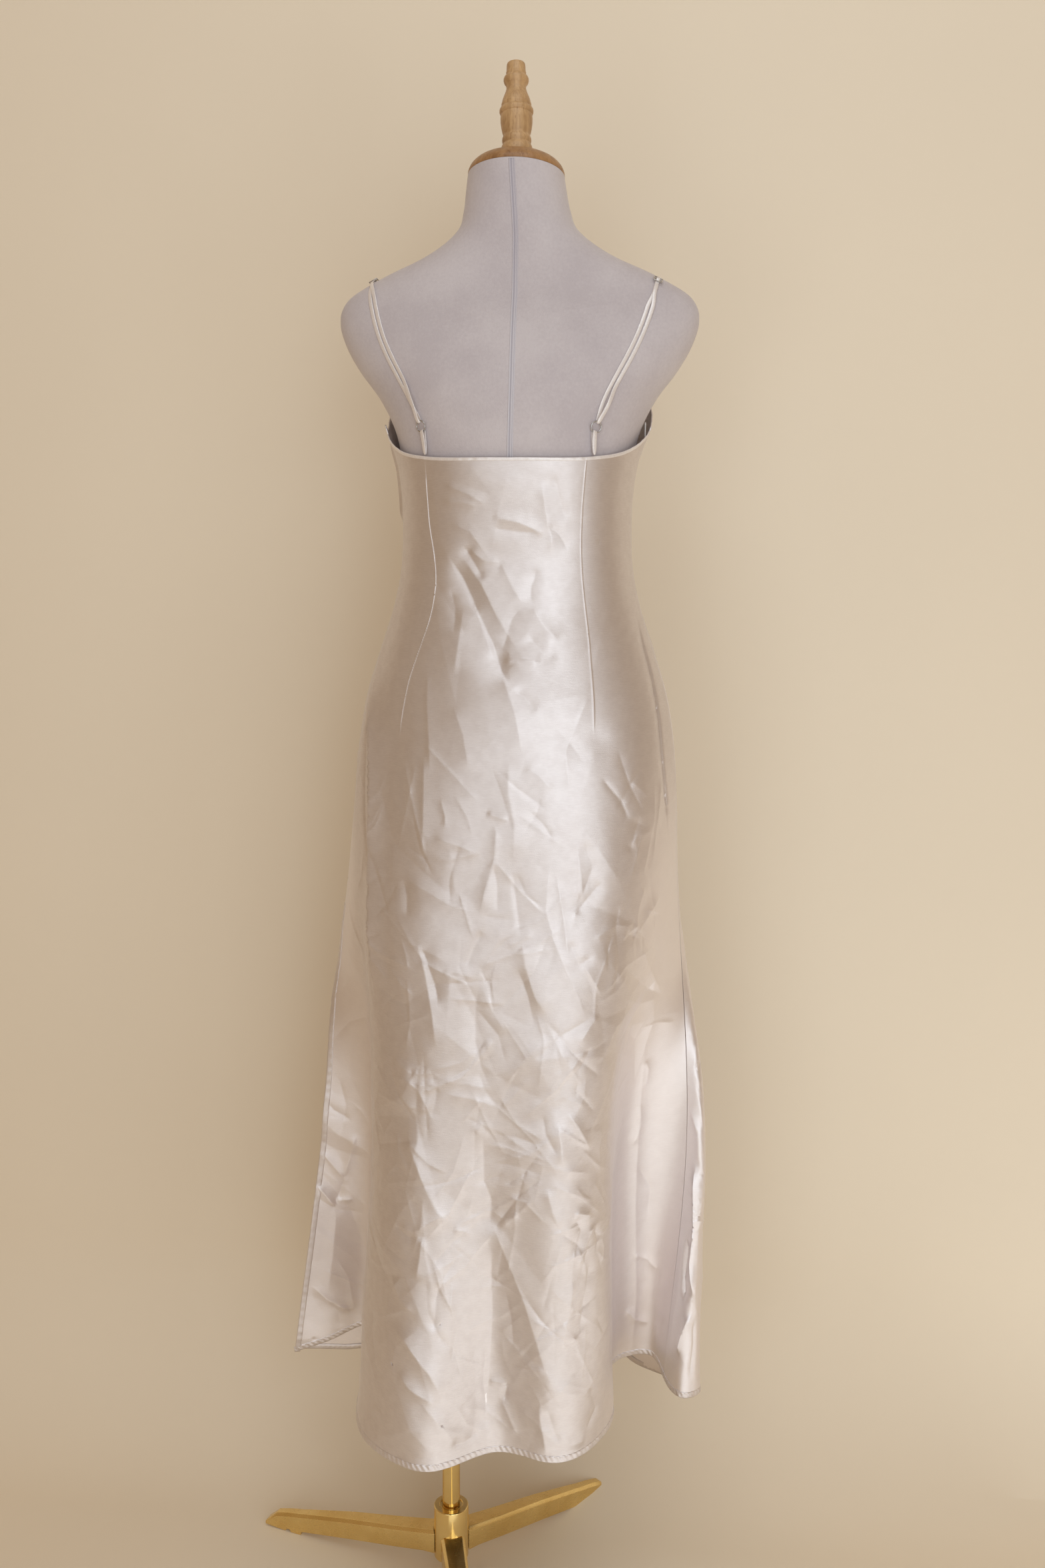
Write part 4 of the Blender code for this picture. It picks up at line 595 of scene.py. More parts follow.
def crease_field(across, z, table):
    """Height of all placed creases: a sharp line between two flanks that reach out and die away."""
    rise = np.zeros_like(across)
    for _, height, right_reach, left_reach, line in table:
        line = np.array(line, float) * MM
        lengths = distances(line)
        reach = max(right_reach, left_reach) * MM
        low = line.min(0) - reach
        high = line.max(0) + reach
        near = (across > low[0]) & (across < high[0]) & (z > low[1]) & (z < high[1])
        if not near.any():
            continue
        here = np.stack([across[near], z[near]], -1)
        best = np.full(len(here), 1.0)
        side = np.zeros(len(here))
        share = np.zeros(len(here))
        for k in range(len(line) - 1):
            step = line[k + 1] - line[k]
            away = here - line[k]
            t = np.clip(away @ step / (step @ step), 0, 1)
            gap = np.linalg.norm(away - t[:, None] * step, axis=1)
            closer = gap < best
            best = np.where(closer, gap, best)
            side = np.where(closer, step[0] * away[:, 1] - step[1] * away[:, 0], side)
            share = np.where(closer, (lengths[k] + t * (lengths[k + 1] - lengths[k])) / lengths[-1], share)
        flank = np.where(side < 0, right_reach, left_reach) * MM
        slope = np.clip(1 - np.sqrt(best**2 + (0.3 * MM) ** 2) / flank, 0, 1) ** 2.0
        ends = ease(share / 0.22) * ease((1 - share) / 0.22)
        rise[near] += height * CREASE_RISE * MM * slope * ends
    return rise


def uneven_field(across, z, seed):
    """Soft bumps and hollows of several sizes, with faint ridges where they meet.

    The warp by noise_vector is not seeded, so the field differs a little from run to run.
    """
    rise = np.zeros(across.size)
    flat_across = across.ravel() / MM
    flat_z = z.ravel() / MM
    for i, (size, stretch, height) in enumerate(UNEVEN):
        us = flat_across / size
        vs = flat_z / (size * stretch)
        values = np.zeros(len(us))
        for k, (u, v) in enumerate(zip(us, vs)):
            spot = Vector((u + 0.3 * v, v - 0.2 * u, seed + 3.1 * i))
            spot += noise.noise_vector(spot * 0.7) * 0.4
            values[k] = 0.35 - abs(noise.noise(spot))
        rise += values * height * MM
    return rise.reshape(across.shape)


def facet_net(seed, low, high):
    """Scattered corners joined into flat facets: the corners, their heights, triangles and edges."""
    rng = np.random.default_rng(seed)
    step = np.array((FACET_SIZE, FACET_SIZE * FACET_STRETCH))
    ticks = [np.arange(low[i], high[i], step[i]) for i in (0, 1)]
    spots = np.stack(np.meshgrid(*ticks), -1)
    spots[1::2, :, 0] += step[0] / 2
    spots = spots.reshape(-1, 2)
    spots = spots + rng.uniform(-0.42, 0.42, spots.shape) * step
    heights = rng.normal(0, FACET_RISE, len(spots))
    made = delaunay_2d_cdt([Vector(spot) for spot in spots / MM], [], [], 0, 1e-4)
    order = [ids[0] for ids in made[3]]
    return spots[order], heights[order], made[2], made[1]


def facet_field(across, z, net):
    """Height of the crumpled facets."""
    corners, heights, triangles, _ = net
    rise = np.zeros_like(across)
    for triangle in triangles:
        a, b, c = corners[list(triangle)]
        low = np.minimum(np.minimum(a, b), c)
        high = np.maximum(np.maximum(a, b), c)
        near = (across >= low[0]) & (across <= high[0]) & (z >= low[1]) & (z <= high[1])
        if not near.any():
            continue
        there = np.stack([across[near], z[near]], -1) - a
        one = b - a
        two = c - a
        area = one[0] * two[1] - one[1] * two[0]
        s = (there[:, 0] * two[1] - there[:, 1] * two[0]) / area
        t = (one[0] * there[:, 1] - one[1] * there[:, 0]) / area
        inside = (s >= 0) & (t >= 0) & (s + t <= 1)
        first, second, third = heights[list(triangle)]
        here = rise[near]
        here[inside] = (first + (second - first) * s + (third - first) * t)[inside]
        rise[near] = here
    return rise


def small_creases(seed, stars, singles, low, high, strength=1.0):
    """Secondary creases: short ones alone, and stars whose arms rise and fall by turns."""
    rng = np.random.default_rng(seed)
    rows = []

    def arm(name, across, z, angle, span, rise):
        bend = rng.normal(0, 0.07) * span
        step = np.array((math.cos(angle), math.sin(angle)))
        aside = np.array((-step[1], step[0])) * bend
        start = np.array((across, z))
        middle = start + step * span * rng.uniform(0.4, 0.6) + aside
        narrow = rng.uniform(3.0, 6.0)
        wide = rng.uniform(5.0, 8.0) if abs(rise) < 0.7 else rng.uniform(8.0, 18.0)
        reaches = (narrow, wide) if rng.random() < 0.5 else (wide, narrow)
        line = (tuple(start), tuple(middle), tuple(start + step * span))
        rows.append((name, rise * strength, *reaches, line))

    for i in range(stars):
        across = rng.uniform(low[0], high[0])
        z = rng.uniform(low[1], high[1])
        turn = rng.uniform(0, 2 * math.pi)
        arms = rng.integers(3, 5)
        for k in range(arms):
            angle = turn + 2 * math.pi * k / arms + rng.normal(0, 0.3)
            span = rng.uniform(18, 52)
            rise = rng.uniform(0.5, 1.3) * (1 if k % 2 == 0 else -0.8)
            arm(f"star_{i}_{k}", across, z, angle, span, rise)
    for i in range(singles):
        across = rng.uniform(low[0], high[0])
        z = rng.uniform(low[1], high[1])
        lean = rng.choice((90, 65, 118, 40, 142, 12))
        angle = math.radians(lean + rng.normal(0, 9))
        rise = rng.uniform(0.32, 0.95) * rng.choice((1, 1, -1))
        arm(f"single_{i}", across, z, angle, rng.uniform(28, 120), rise)
    return tuple(rows)


class Panel:
    """One cut piece of satin: its outline as a coarse grid, and the rise of any of its points."""

    def __init__(self, form, first, last, centre, neck, spacing, rows, darts, creases, amounts, seed):
        self.form = form
        self.centre = centre
        self.dart_lines = darts
        self.creases = creases
        self.amounts = amounts
        self.seed = seed
        self.starts_left = first < 1
        self.net = facet_net(int(seed * 10), FACET_LOW, FACET_HIGH)
        folds = BACK_FOLDS + FRONT_FOLDS
        ribs = np.append(column(folds, 1), BACK_FOLDS[0][1] + 360)
        hems = np.append(column(folds, 9), FRONT_EDGE_HEM)
        index = np.arange(len(ribs))
        at_top = panel_columns(first, last, spacing, darts, np.array([1.39]))[0]
        at_hem = panel_columns(first, last, spacing, darts, np.array([0.28]))[0]
        tops = neckline(neck, np.interp(at_top, index, ribs))
        bottoms = smooth(at_hem, index, hems)
        shares = row_shares(rows)
        self.z = tops[None] + (bottoms - tops)[None] * shares[:, None]
        levels = np.linspace(1.47, 0.22, 260)
        table = panel_columns(first, last, spacing, darts, levels)
        self.places = np.zeros_like(self.z)
        for j in range(table.shape[1]):
            self.places[:, j] = np.interp(-self.z[:, j], -levels, table[:, j])
        self.across = form.across(self.places, self.z, centre)
        self.points, self.normal = self.lifted(self.places, self.across, self.z)

    def lifted(self, places, across, z):
        """Points of the creased cloth and the smooth form's normals there."""
        base = self.form.points(places, z)
        ahead = self.form.points(places + 0.06, z) - self.form.points(places - 0.06, z)
        down = self.form.points(places, z - 0.004) - self.form.points(places, z + 0.004)
        normal = unit(np.cross(down, ahead))
        rise = crease_field(across, z, self.creases)
        soft = uneven_field(across, z, self.seed) + facet_field(across, z, self.net)
        rise += soft * self.amounts(across, z)
        rise += self.darts(places, z)
        rise *= self.held(across, z)
        return base + normal * rise[..., None], normal

    def darts(self, places, z):
        """A dart lies as a fine welt with the cloth drawn in on both sides and a dimple at its tip."""
        rise = np.zeros_like(z)
        for _, line in self.dart_lines:
            tip = line[-1][0]
            away = (places - smooth(z, column(line, 0), column(line, 1))) * DART_PITCH
            here = ease((z - tip + 0.012) / 0.030)
            welt = np.exp(-((away / (0.5 * MM)) ** 2)) * 0.6
            drawn = np.exp(-np.abs(away) / (15 * MM)) * 0.4
            rise += (welt - drawn) * MM * here
            below = np.exp(-(((z - tip + 0.014) / 0.016) ** 2) - (away / 0.010) ** 2)
            rise -= below * 1.6 * MM
        return rise

    def held(self, across, z):
        """1 where the cloth is free and 0 along its closed side seams and its top edge."""
        sides = self.sides(z)
        ends = (across - sides[0], sides[1] - across)
        left_edge, right_edge = ends if self.starts_left else ends[::-1]
        sewn = ease((z - SLIT_TOP + 0.06) / 0.06)
        left = 1 - sewn * (1 - ease(left_edge / 0.012))
        right = ease(right_edge / 0.012)
        top = 0.25 + 0.75 * ease((self.top(across) - z) / 0.030)
        return left * right * top

    def sides(self, z):
        """Both side edges' distances across at these heights."""
        return [np.interp(-z, -self.z[:, j], self.across[:, j]) for j in (0, -1)]

    def top(self, across):
        return np.interp(across, self.across[0], self.z[0])

    def bottom(self, across):
        return np.interp(across, self.across[-1], self.z[-1])

    def place_of(self, across, z):
        """Plan points of spots given by their distance across and height."""
        form = self.form
        level = np.clip((form.TOP - z) / form.LEVEL_STEP, 0, len(form.heights) - 1.001)
        row = level.astype(int)
        share = level - row
        places = np.zeros_like(z)
        middle = round(self.centre / form.PLACE_STEP)
        for i in np.unique(row):
            here = row == i
            upper, lower = (
                np.interp(across[here], form.lengths[k] - form.lengths[k, middle], form.places)
                for k in (i, i + 1)
            )
            places[here] = upper * (1 - share[here]) + lower * share[here]
        return places

    def inside(self, spots, margin):
        across, z = spots.T
        left, right = self.sides(z)
        keep = (across > left + margin) & (across < right - margin)
        return keep & (z < self.top(across) - margin) & (z > self.bottom(across) + margin)

    def spots(self):
        """Mesh points inside the panel: rows along every crease and dart, then an even spread between."""
        layers = []
        close = []
        for _, height, _, _, line in self.creases:
            line = np.array(line, float) * MM
            keys = distances(line)
            at = np.linspace(0, keys[-1], max(3, round(keys[-1] / CREASE_SPACING)))
            middle = read_at(at, keys, line)
            ahead = unit(np.gradient(middle, axis=0))
            aside = np.stack([-ahead[:, 1], ahead[:, 0]], -1)
            outermost = 6 if abs(height) > 1.4 else 2
            for offset in CREASE_SIDES:
                if abs(offset) < outermost:
                    layers.append((abs(offset), middle + aside * offset * MM))
        for _, line in self.dart_lines:
            z = np.arange(line[-1][0] - 0.015, line[0][0], 0.0025)
            places = smooth(z, column(line, 0), column(line, 1))
            across = self.form.across(places, z, self.centre)
            close += [np.stack([across + offset * MM, z], -1) for offset in DART_SIDES]
        corners, _, _, edges = self.net
        for i, j in edges:
            reach = np.linalg.norm(corners[j] - corners[i])
            count = max(2, round(reach / (4.6 * MM)))
            share = np.arange(0.5, count) / count
            middle = corners[i] + (corners[j] - corners[i]) * share[:, None]
            aside = np.array((corners[i, 1] - corners[j, 1], corners[j, 0] - corners[i, 0])) / reach
            for offset in (0.0, -1.5, 1.5):
                layers.append((4 + abs(offset), middle + aside * offset * MM))
        layers.sort(key=lambda layer: layer[0])
        low_z = self.z.min()
        high_z = self.z.max()
        rows = np.arange(low_z, high_z, SHEET_SPACING * 0.866)
        across = np.arange(self.across.min(), self.across.max(), SHEET_SPACING)
        spread = np.stack(np.meshgrid(across, rows), -1)
        spread[1::2, :, 0] += SHEET_SPACING / 2
        rng = np.random.default_rng(11)
        spread = spread.reshape(-1, 2) + rng.uniform(-0.7, 0.7, (spread.size // 2, 2)) * MM
        kept = thinned(np.concatenate([spots for _, spots in layers]), 0.95 * MM)
        if close:
            near = set(cells_of(np.concatenate(close), 2.0 * MM))
            kept = kept[np.array([cell not in near for cell in cells_of(kept, 2.0 * MM)])]
            kept = np.concatenate([*close, kept])
        taken = set(cells_of(kept, 3.4 * MM))
        free = np.array([cell not in taken for cell in cells_of(spread, 3.4 * MM)])
        spots = np.concatenate([kept, spread[free]])
        return spots[self.inside(spots, 1.3 * MM)]

    def clearance(self):
        """How much further in the coarse inside lies, so that no crease of the outside dips through it."""
        rise = np.sum((self.points - self.form.points(self.places, self.z)) * self.normal, axis=-1)
        lowest = rise.copy()
        for shift in ((0, 1), (0, -1), (1, 0), (-1, 0), (0, 2), (0, -2), (2, 0), (-2, 0)):
            lowest = np.minimum(lowest, np.roll(rise, shift, (0, 1)))
        room = rise - lowest
        room[0] = room[-1] = room[:, 0] = room[:, -1] = 0
        return room

    def draw_in(self, edge, room):
        inner = 1 if edge == 0 else -2
        step = unit(self.points[:, inner] - self.points[:, edge])
        self.points[:, edge] += step * room[:, None]


def thinned(spots, cell):
    """The same spots without those that crowd an earlier one."""
    kept = {}
    for i, key in enumerate(cells_of(spots, cell)):
        kept.setdefault(key, i)
    return spots[sorted(kept.values())]


def seam_room(one, one_edge, other, other_edge):
    """How far two panels draw back from the seam they share, further where the seam is a corner."""
    inner = {0: 1, -1: -2}
    steps = []
    for panel, edge in ((one, one_edge), (other, other_edge)):
        steps.append((panel, unit(panel.points[:, inner[edge]] - panel.points[:, edge])))
    own = steps[0][1]
    z = one.points[:, one_edge, 2]
    theirs = read_at(-z, -other.points[:, other_edge, 2], steps[1][1])
    turn = np.pi - np.arccos(np.clip(np.sum(own * unit(theirs), axis=1), -1, 1))
    return GAP / 2 + CLOTH * np.tan(np.minimum(turn, math.radians(100)) / 2)


# ---------------------------------------------------------------- meshes
def deselect():
    if bpy.context.object is not None and bpy.context.object.mode != "OBJECT":
        bpy.ops.object.mode_set(mode="OBJECT")
    bpy.ops.object.select_all(action="DESELECT")


def only(obj):
    deselect()
    obj.select_set(True)
    bpy.context.view_layer.objects.active = obj


def mesh_object(name, points, faces):
    """A new object from points in the form's own frame."""
    mesh = bpy.data.meshes.new(name)
    mesh.from_pydata((np.asarray(points).reshape(-1, 3) + PLACE).tolist(), [], faces)
    mesh.shade_smooth()
    obj = bpy.data.objects.new(name, mesh)
    bpy.context.scene.collection.objects.link(obj)
    return obj


def dressed(obj, material, slot, *replaced):
    """Gives a finished piece its material and its place on the frame."""
    obj.data.materials.clear()
    obj.data.materials.append(material)
    if replaced:
        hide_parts(*replaced)
    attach(obj, "root")
    return obj


def grid_faces(rows, columns, first=0, flip=False, wrap=False):
    """Quads of a grid of points, as rows of corner numbers."""
    a = np.arange(rows - 1)[:, None] * columns + np.arange(columns if wrap else columns - 1)[None]
    step = np.arange(columns if wrap else columns - 1)[None] + 1
    b = np.arange(rows - 1)[:, None] * columns + step % columns
    quads = np.stack([a, a + columns, b + columns, b], -1).reshape(-1, 4) + first
    return quads[:, ::-1] if flip else quads


def tube_faces(rows, columns):
    """Quads of a closed tube of points, with a face over each end."""
    faces = grid_faces(rows, columns, wrap=True).tolist()
    faces.append(list(range(columns)))
    faces.append([(rows - 1) * columns + k for k in reversed(range(columns))])
    return faces


def ascending(a, b, c):
    """Whether three points of the rim come in its own order, so that they span a hollow outside it."""
    return a < b < c or b < c < a or c < a < b


def shell(name, panel):
    """A closed wall of cloth: an outside triangulated along its creases, a coarser inside and the rim."""
    rows, columns = panel.z.shape
    grid = np.arange(rows * columns).reshape(rows, columns)
    loop = np.concatenate([grid[0, :-1], grid[:-1, -1], grid[-1, :0:-1], grid[:0:-1, 0]])
    spots = panel.spots()
    places = panel.place_of(*spots.T)
    points, _ = panel.lifted(places, *spots.T)
    flat = np.stack([panel.across, panel.z], -1).reshape(-1, 2)[loop]
    flat = np.concatenate([flat, spots])
    points = np.concatenate([panel.points.reshape(-1, 3)[loop], points])
    rim_edges = [(i, (i + 1) % len(loop)) for i in range(len(loop))]
    cut = delaunay_2d_cdt([Vector(spot) for spot in flat], rim_edges, [], 1, 1e-9, True)
    order = [source[0] for source in cut[3]]
    faces = [[order[i] for i in face] for face in cut[2]]
    faces = [face for face in faces if max(face) >= len(loop) or not ascending(*face)]

    inner = (panel.points - panel.normal * (CLOTH + panel.room[..., None]))[::2, ::2]
    inner_rows, inner_columns = inner.shape[:2]
    first = len(points)
    faces += grid_faces(inner_rows, inner_columns, first, flip=True).tolist()
    inner_index = np.arange(inner_rows * inner_columns).reshape(inner_rows, inner_columns) + first
    at = {int(k): i for i, k in enumerate(loop)}

    def rim(outside, inside, flip):
        for k in range(len(inside) - 1):
            a, m, b = (at[int(i)] for i in outside[2 * k : 2 * k + 3])
            c, d = inside[k : k + 2]
            for face in ((a, c, m), (m, c, d), (m, d, b)):
                faces.append(face[::-1] if flip else face)

    rim(grid[0], inner_index[0].tolist(), True)
    rim(grid[-1], inner_index[-1].tolist(), False)
    rim(grid[:, 0], inner_index[:, 0].tolist(), False)
    rim(grid[:, -1], inner_index[:, -1].tolist(), True)
    inner_flat = np.stack([panel.across, panel.z], -1)[::2, ::2].reshape(-1, 2)
    obj = mesh_object(name, np.concatenate([points, inner.reshape(-1, 3)]), faces)
    flat = np.concatenate([flat, inner_flat])
    lay_flat(obj, flat)
    obj.data.set_sharp_from_angle(angle=math.radians(62))
    return obj, flat


def lay_flat(obj, flat):
    """Gives a mesh the UV map of its flat cloth, in metres."""
    corners = np.zeros(len(obj.data.loops), int)
    obj.data.loops.foreach_get("vertex_index", corners)
    layer = obj.data.uv_layers.new(name="cloth")
    layer.data.foreach_set("uv", flat[corners].astype(np.float32).ravel())


def band(name, frame_of_edge, section, ripple=None):
    """A sewn band round an edge. Its section holds distances into the cloth and outwards, in millimetres."""
    line, depth, outward = frame_of_edge
    section = np.array(section) * MM
    count = len(section)
    lengths = distances(line)
    points = np.zeros((len(line), count, 3))
    for k, (into, out) in enumerate(section):
        extra = ripple(lengths, into, out)[:, None] if ripple else 0.0
        points[:, k] = line + depth * into + outward * (out + extra)
    obj = mesh_object(name, points, tube_faces(len(line), count))
    flat = np.zeros((len(line), count, 2))
    flat[..., 0] = lengths[:, None]
    flat[..., 1] = np.arange(count)[None] * MM
    lay_flat(obj, flat.reshape(-1, 2))
    face_outwards(obj)
    return obj


def face_outwards(obj):
    only(obj)
    bpy.ops.object.mode_set(mode="EDIT")
    bpy.ops.mesh.select_all(action="SELECT")
    bpy.ops.mesh.normals_make_consistent(inside=False)
    bpy.ops.object.mode_set(mode="OBJECT")


def stitches(name, frame_of_edge, into, out, pitch, length, thick):
    """A row of sewing along an edge, one small bead of thread copied along it."""
    line, depth, outward = frame_of_edge
    lengths = distances(line)
    deselect()
    bpy.ops.mesh.primitive_uv_sphere_add(segments=6, ring_count=4, radius=1.0)
    bead = bpy.context.object
    shape = np.array([v.co for v in bead.data.vertices])
    corners = [tuple(p.vertices) for p in bead.data.polygons]
    bpy.data.objects.remove(bead)
    at = np.arange(pitch, lengths[-1] - pitch, pitch)
    centre = read_at(at, lengths, line + depth * into + outward * out)
    ahead = unit(read_at(at, lengths, np.gradient(line, axis=0)))
    up = unit(read_at(at, lengths, outward))
    side = np.cross(up, ahead)
    points = (
        centre[:, None]
        + ahead[:, None] * shape[None, :, 2:3] * length / 2
        + up[:, None] * shape[None, :, 0:1] * thick / 2
        + side[:, None] * shape[None, :, 1:2] * thick / 2
    )
    faces = [tuple(c + i * len(shape) for c in face) for i in range(len(at)) for face in corners]
    obj = mesh_object(name, points, faces)
    face_outwards(obj)
    return obj


def lathe(name, profile, segments, matrix):
    """A turned solid: a ring extruded and scaled up its profile, closed at both ends."""
    deselect()
    radius, height = profile[0]
    bpy.ops.mesh.primitive_circle_add(
        vertices=segments, radius=radius, fill_type="NGON", location=(0, 0, height)
    )
    bpy.ops.object.mode_set(mode="EDIT")
    for (was, before), (now, after) in zip(profile, profile[1:]):
        bpy.ops.mesh.extrude_region_move(TRANSFORM_OT_translate={"value": (0, 0, after - before)})
        bpy.ops.transform.resize(value=(now / was, now / was, 1))
    bpy.ops.mesh.select_all(action="SELECT")
    bpy.ops.mesh.normals_make_consistent(inside=False)
    bpy.ops.object.mode_set(mode="OBJECT")
    obj = bpy.context.object
    obj.name = name
    obj.data.name = name
    obj.matrix_world = matrix @ obj.matrix_world
    bpy.ops.object.transform_apply(location=True, rotation=True, scale=True)
    bpy.ops.object.shade_smooth_by_angle(angle=math.radians(32))
    return obj


def copy_of(node, name, rounding, segments=2, angle=35):
    """A copy of a frame solid with its loose triangles joined and its edges rounded."""
    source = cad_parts[node]
    obj = bpy.data.objects.new(name, source.data.copy())
    bpy.context.scene.collection.objects.link(obj)
    only(obj)
    bpy.ops.object.mode_set(mode="EDIT")
    bpy.ops.mesh.select_all(action="SELECT")
    bpy.ops.mesh.remove_doubles(threshold=0.00001)
    bpy.ops.mesh.dissolve_limited(angle_limit=math.radians(0.5))
    bpy.ops.object.mode_set(mode="OBJECT")
    if rounding:
        bevel = obj.modifiers.new("rounding", "BEVEL")
        bevel.width = rounding
        bevel.segments = segments
        bevel.limit_method = "ANGLE"
        bevel.angle_limit = math.radians(angle)
        bpy.ops.object.modifier_apply(modifier="rounding")
    bpy.ops.object.shade_smooth_by_angle(angle=math.radians(40))
    return obj


def refined(obj, levels):
    """Subdivides a piece smoothly."""
    only(obj)
    rounding = obj.modifiers.new("rounding", "SUBSURF")
    rounding.levels = levels
    bpy.ops.object.modifier_apply(modifier="rounding")
    bpy.ops.object.shade_smooth()


# ---------------------------------------------------------------- materials
def feed(tree, node, inputs):
    """Links a node's inputs where a socket is given, and sets their values otherwise."""
    for key, value in inputs.items():
        if isinstance(value, bpy.types.NodeSocket):
            tree.links.new(value, node.inputs[key])
        else:
            node.inputs[key].default_value = value


def add_node(tree, kind, inputs=None, **settings):
    node = tree.nodes.new(kind)
    for key, value in settings.items():
        setattr(node, key, value)
    feed(tree, node, inputs or {})
    return node


def noise_value(tree, vector, scale, detail, **more):
    inputs = {"Vector": vector, "Scale": scale, "Detail": detail, **more}
    return add_node(tree, "ShaderNodeTexNoise", inputs).outputs["Fac"]


def stretched(tree, vector, scale):
    """Coordinates multiplied by this much along each axis."""
    return add_node(tree, "ShaderNodeMapping", {"Vector": vector, "Scale": scale}).outputs[0]


def scaled(tree, vector, factor):
    return add_node(tree, "ShaderNodeVectorMath", {0: vector, 3: factor}, operation="SCALE").outputs[0]


def worked_out(tree, operation, *values):
    """The result of a sum of values and sockets."""
    return add_node(tree, "ShaderNodeMath", dict(enumerate(values)), operation=operation).outputs[0]


def between(tree, value, low, high):
    """A value of 0 to 1, spread between these two."""
    inputs = {"Value": value, "To Min": low, "To Max": high}
    return add_node(tree, "ShaderNodeMapRange", inputs).outputs["Result"]


def ramp(tree, value, stops):
    """A colour ramp through these positions and grey levels."""
    node = add_node(tree, "ShaderNodeValToRGB", {"Fac": value})
    elements = node.color_ramp.elements
    for i, (position, grey) in enumerate(stops):
        element = elements[i] if i < len(elements) else elements.new(position)
        element.position = position
        element.color = (grey, grey, grey, 1.0)
    return node.outputs["Color"]


def tint(tree, factor, light, dark):
    """A mix of two colours, each given as a colour or as the socket that makes it."""
    pair = [value if isinstance(value, bpy.types.NodeSocket) else (*value, 1.0) for value in (light, dark)]
    node = add_node(tree, "ShaderNodeMix", {0: factor, 6: pair[0], 7: pair[1]}, data_type="RGBA")
    return node.outputs[2]


def bump(tree, shader, height, strength, distance):
    node = add_node(tree, "ShaderNodeBump", {"Height": height, "Strength": strength, "Distance": distance})
    tree.links.new(node.outputs["Normal"], shader.inputs["Normal"])


def new_group(name, inputs, outputs):
    """A shader node group with named sockets, with its input and output nodes."""
    tree = bpy.data.node_groups.new(name, "ShaderNodeTree")
    for socket, kind, value in inputs:
        made = tree.interface.new_socket(name=socket, in_out="INPUT", socket_type=kind)
        if value is not None:
            made.default_value = value
    for socket, kind in outputs:
        tree.interface.new_socket(name=socket, in_out="OUTPUT", socket_type=kind)
    return tree, tree.nodes.new("NodeGroupInput"), tree.nodes.new("NodeGroupOutput")


def use_group(tree, name, build, inputs):
    """A node of a shared group, which is built when it is first asked for."""
    group = bpy.data.node_groups.get(name) or build(name)
    return add_node(tree, "ShaderNodeGroup", inputs, node_tree=group)


def weave_group(name):
    """Satin weave: slubs that run round the body and the grain of the threads, as a height and a tone."""
    tree, given, made = new_group(
        name,
        (("Vector", "NodeSocketVector", None), ("Grain", "NodeSocketFloat", 1.0)),
        (("Height", "NodeSocketFloat"), ("Tone", "NodeSocketFloat")),
    )
    vector = given.outputs["Vector"]
    slub = noise_value(tree, stretched(tree, vector, (130.0, 900.0, 1.0)), 1.0, 2.0)
    grain = noise_value(tree, vector, 1100.0, 1.0)
    cloud = noise_value(tree, vector, 90.0, 3.0)
    height = worked_out(tree, "MULTIPLY", worked_out(tree, "ADD", slub, grain), given.outputs["Grain"])
    tone = worked_out(tree, "MULTIPLY", worked_out(tree, "ADD", slub, cloud), 0.5)
    feed(tree, made, {"Height": height, "Tone": tone})
    return tree


def grain_group(name):
    """Wood: long streaks along the height, blotches of stain and small dark pores."""
    tree, given, made = new_group(
        name,
        (
            ("Vector", "NodeSocketVector", None),
            ("Light", "NodeSocketColor", (0.6, 0.4, 0.2, 1.0)),
            ("Dark", "NodeSocketColor", (0.3, 0.15, 0.05, 1.0)),
            ("Streak scale", "NodeSocketFloat", 1.0),
        ),
        (("Color", "NodeSocketColor"), ("Height", "NodeSocketFloat")),
    )
    vector = scaled(tree, given.outputs["Vector"], given.outputs["Streak scale"])
    streak = noise_value(tree, stretched(tree, vector, (260.0, 260.0, 22.0)), 1.0, 4.0, Distortion=0.6)
    blotch = noise_value(tree, vector, 48.0, 3.0)
    pore = noise_value(tree, stretched(tree, vector, (900.0, 900.0, 130.0)), 1.0, 1.0)
    dark = worked_out(tree, "MULTIPLY", ramp(tree, streak, ((0.36, 0.0), (0.64, 1.0))), 0.45)
    dark = worked_out(tree, "MULTIPLY_ADD", ramp(tree, blotch, ((0.36, 0.0), (0.66, 1.0))), 0.40, dark)
    dark = worked_out(tree, "MULTIPLY_ADD", ramp(tree, pore, ((0.60, 0.0), (0.72, 1.0))), 0.40, dark)
    colour_made = tint(tree, dark, given.outputs["Light"], given.outputs["Dark"])
    feed(tree, made, {"Color": colour_made, "Height": streak})
    return tree


def wear_group(name):
    """Handled metal: cloudy tarnish and fine scuffs, as two masks."""
    tree, given, made = new_group(
        name,
        (("Vector", "NodeSocketVector", None), ("Scale", "NodeSocketFloat", 1.0)),
        (("Mask", "NodeSocketFloat"), ("Scuff", "NodeSocketFloat")),
    )
    vector = scaled(tree, given.outputs["Vector"], given.outputs["Scale"])
    cloud = noise_value(tree, vector, 26.0, 5.0)
    scuff = noise_value(tree, stretched(tree, vector, (140.0, 140.0, 900.0)), 1.0, 2.0)
    feed(tree, made, {"Mask": ramp(tree, cloud, ((0.40, 0.0), (0.66, 1.0))), "Scuff": scuff})
    return tree


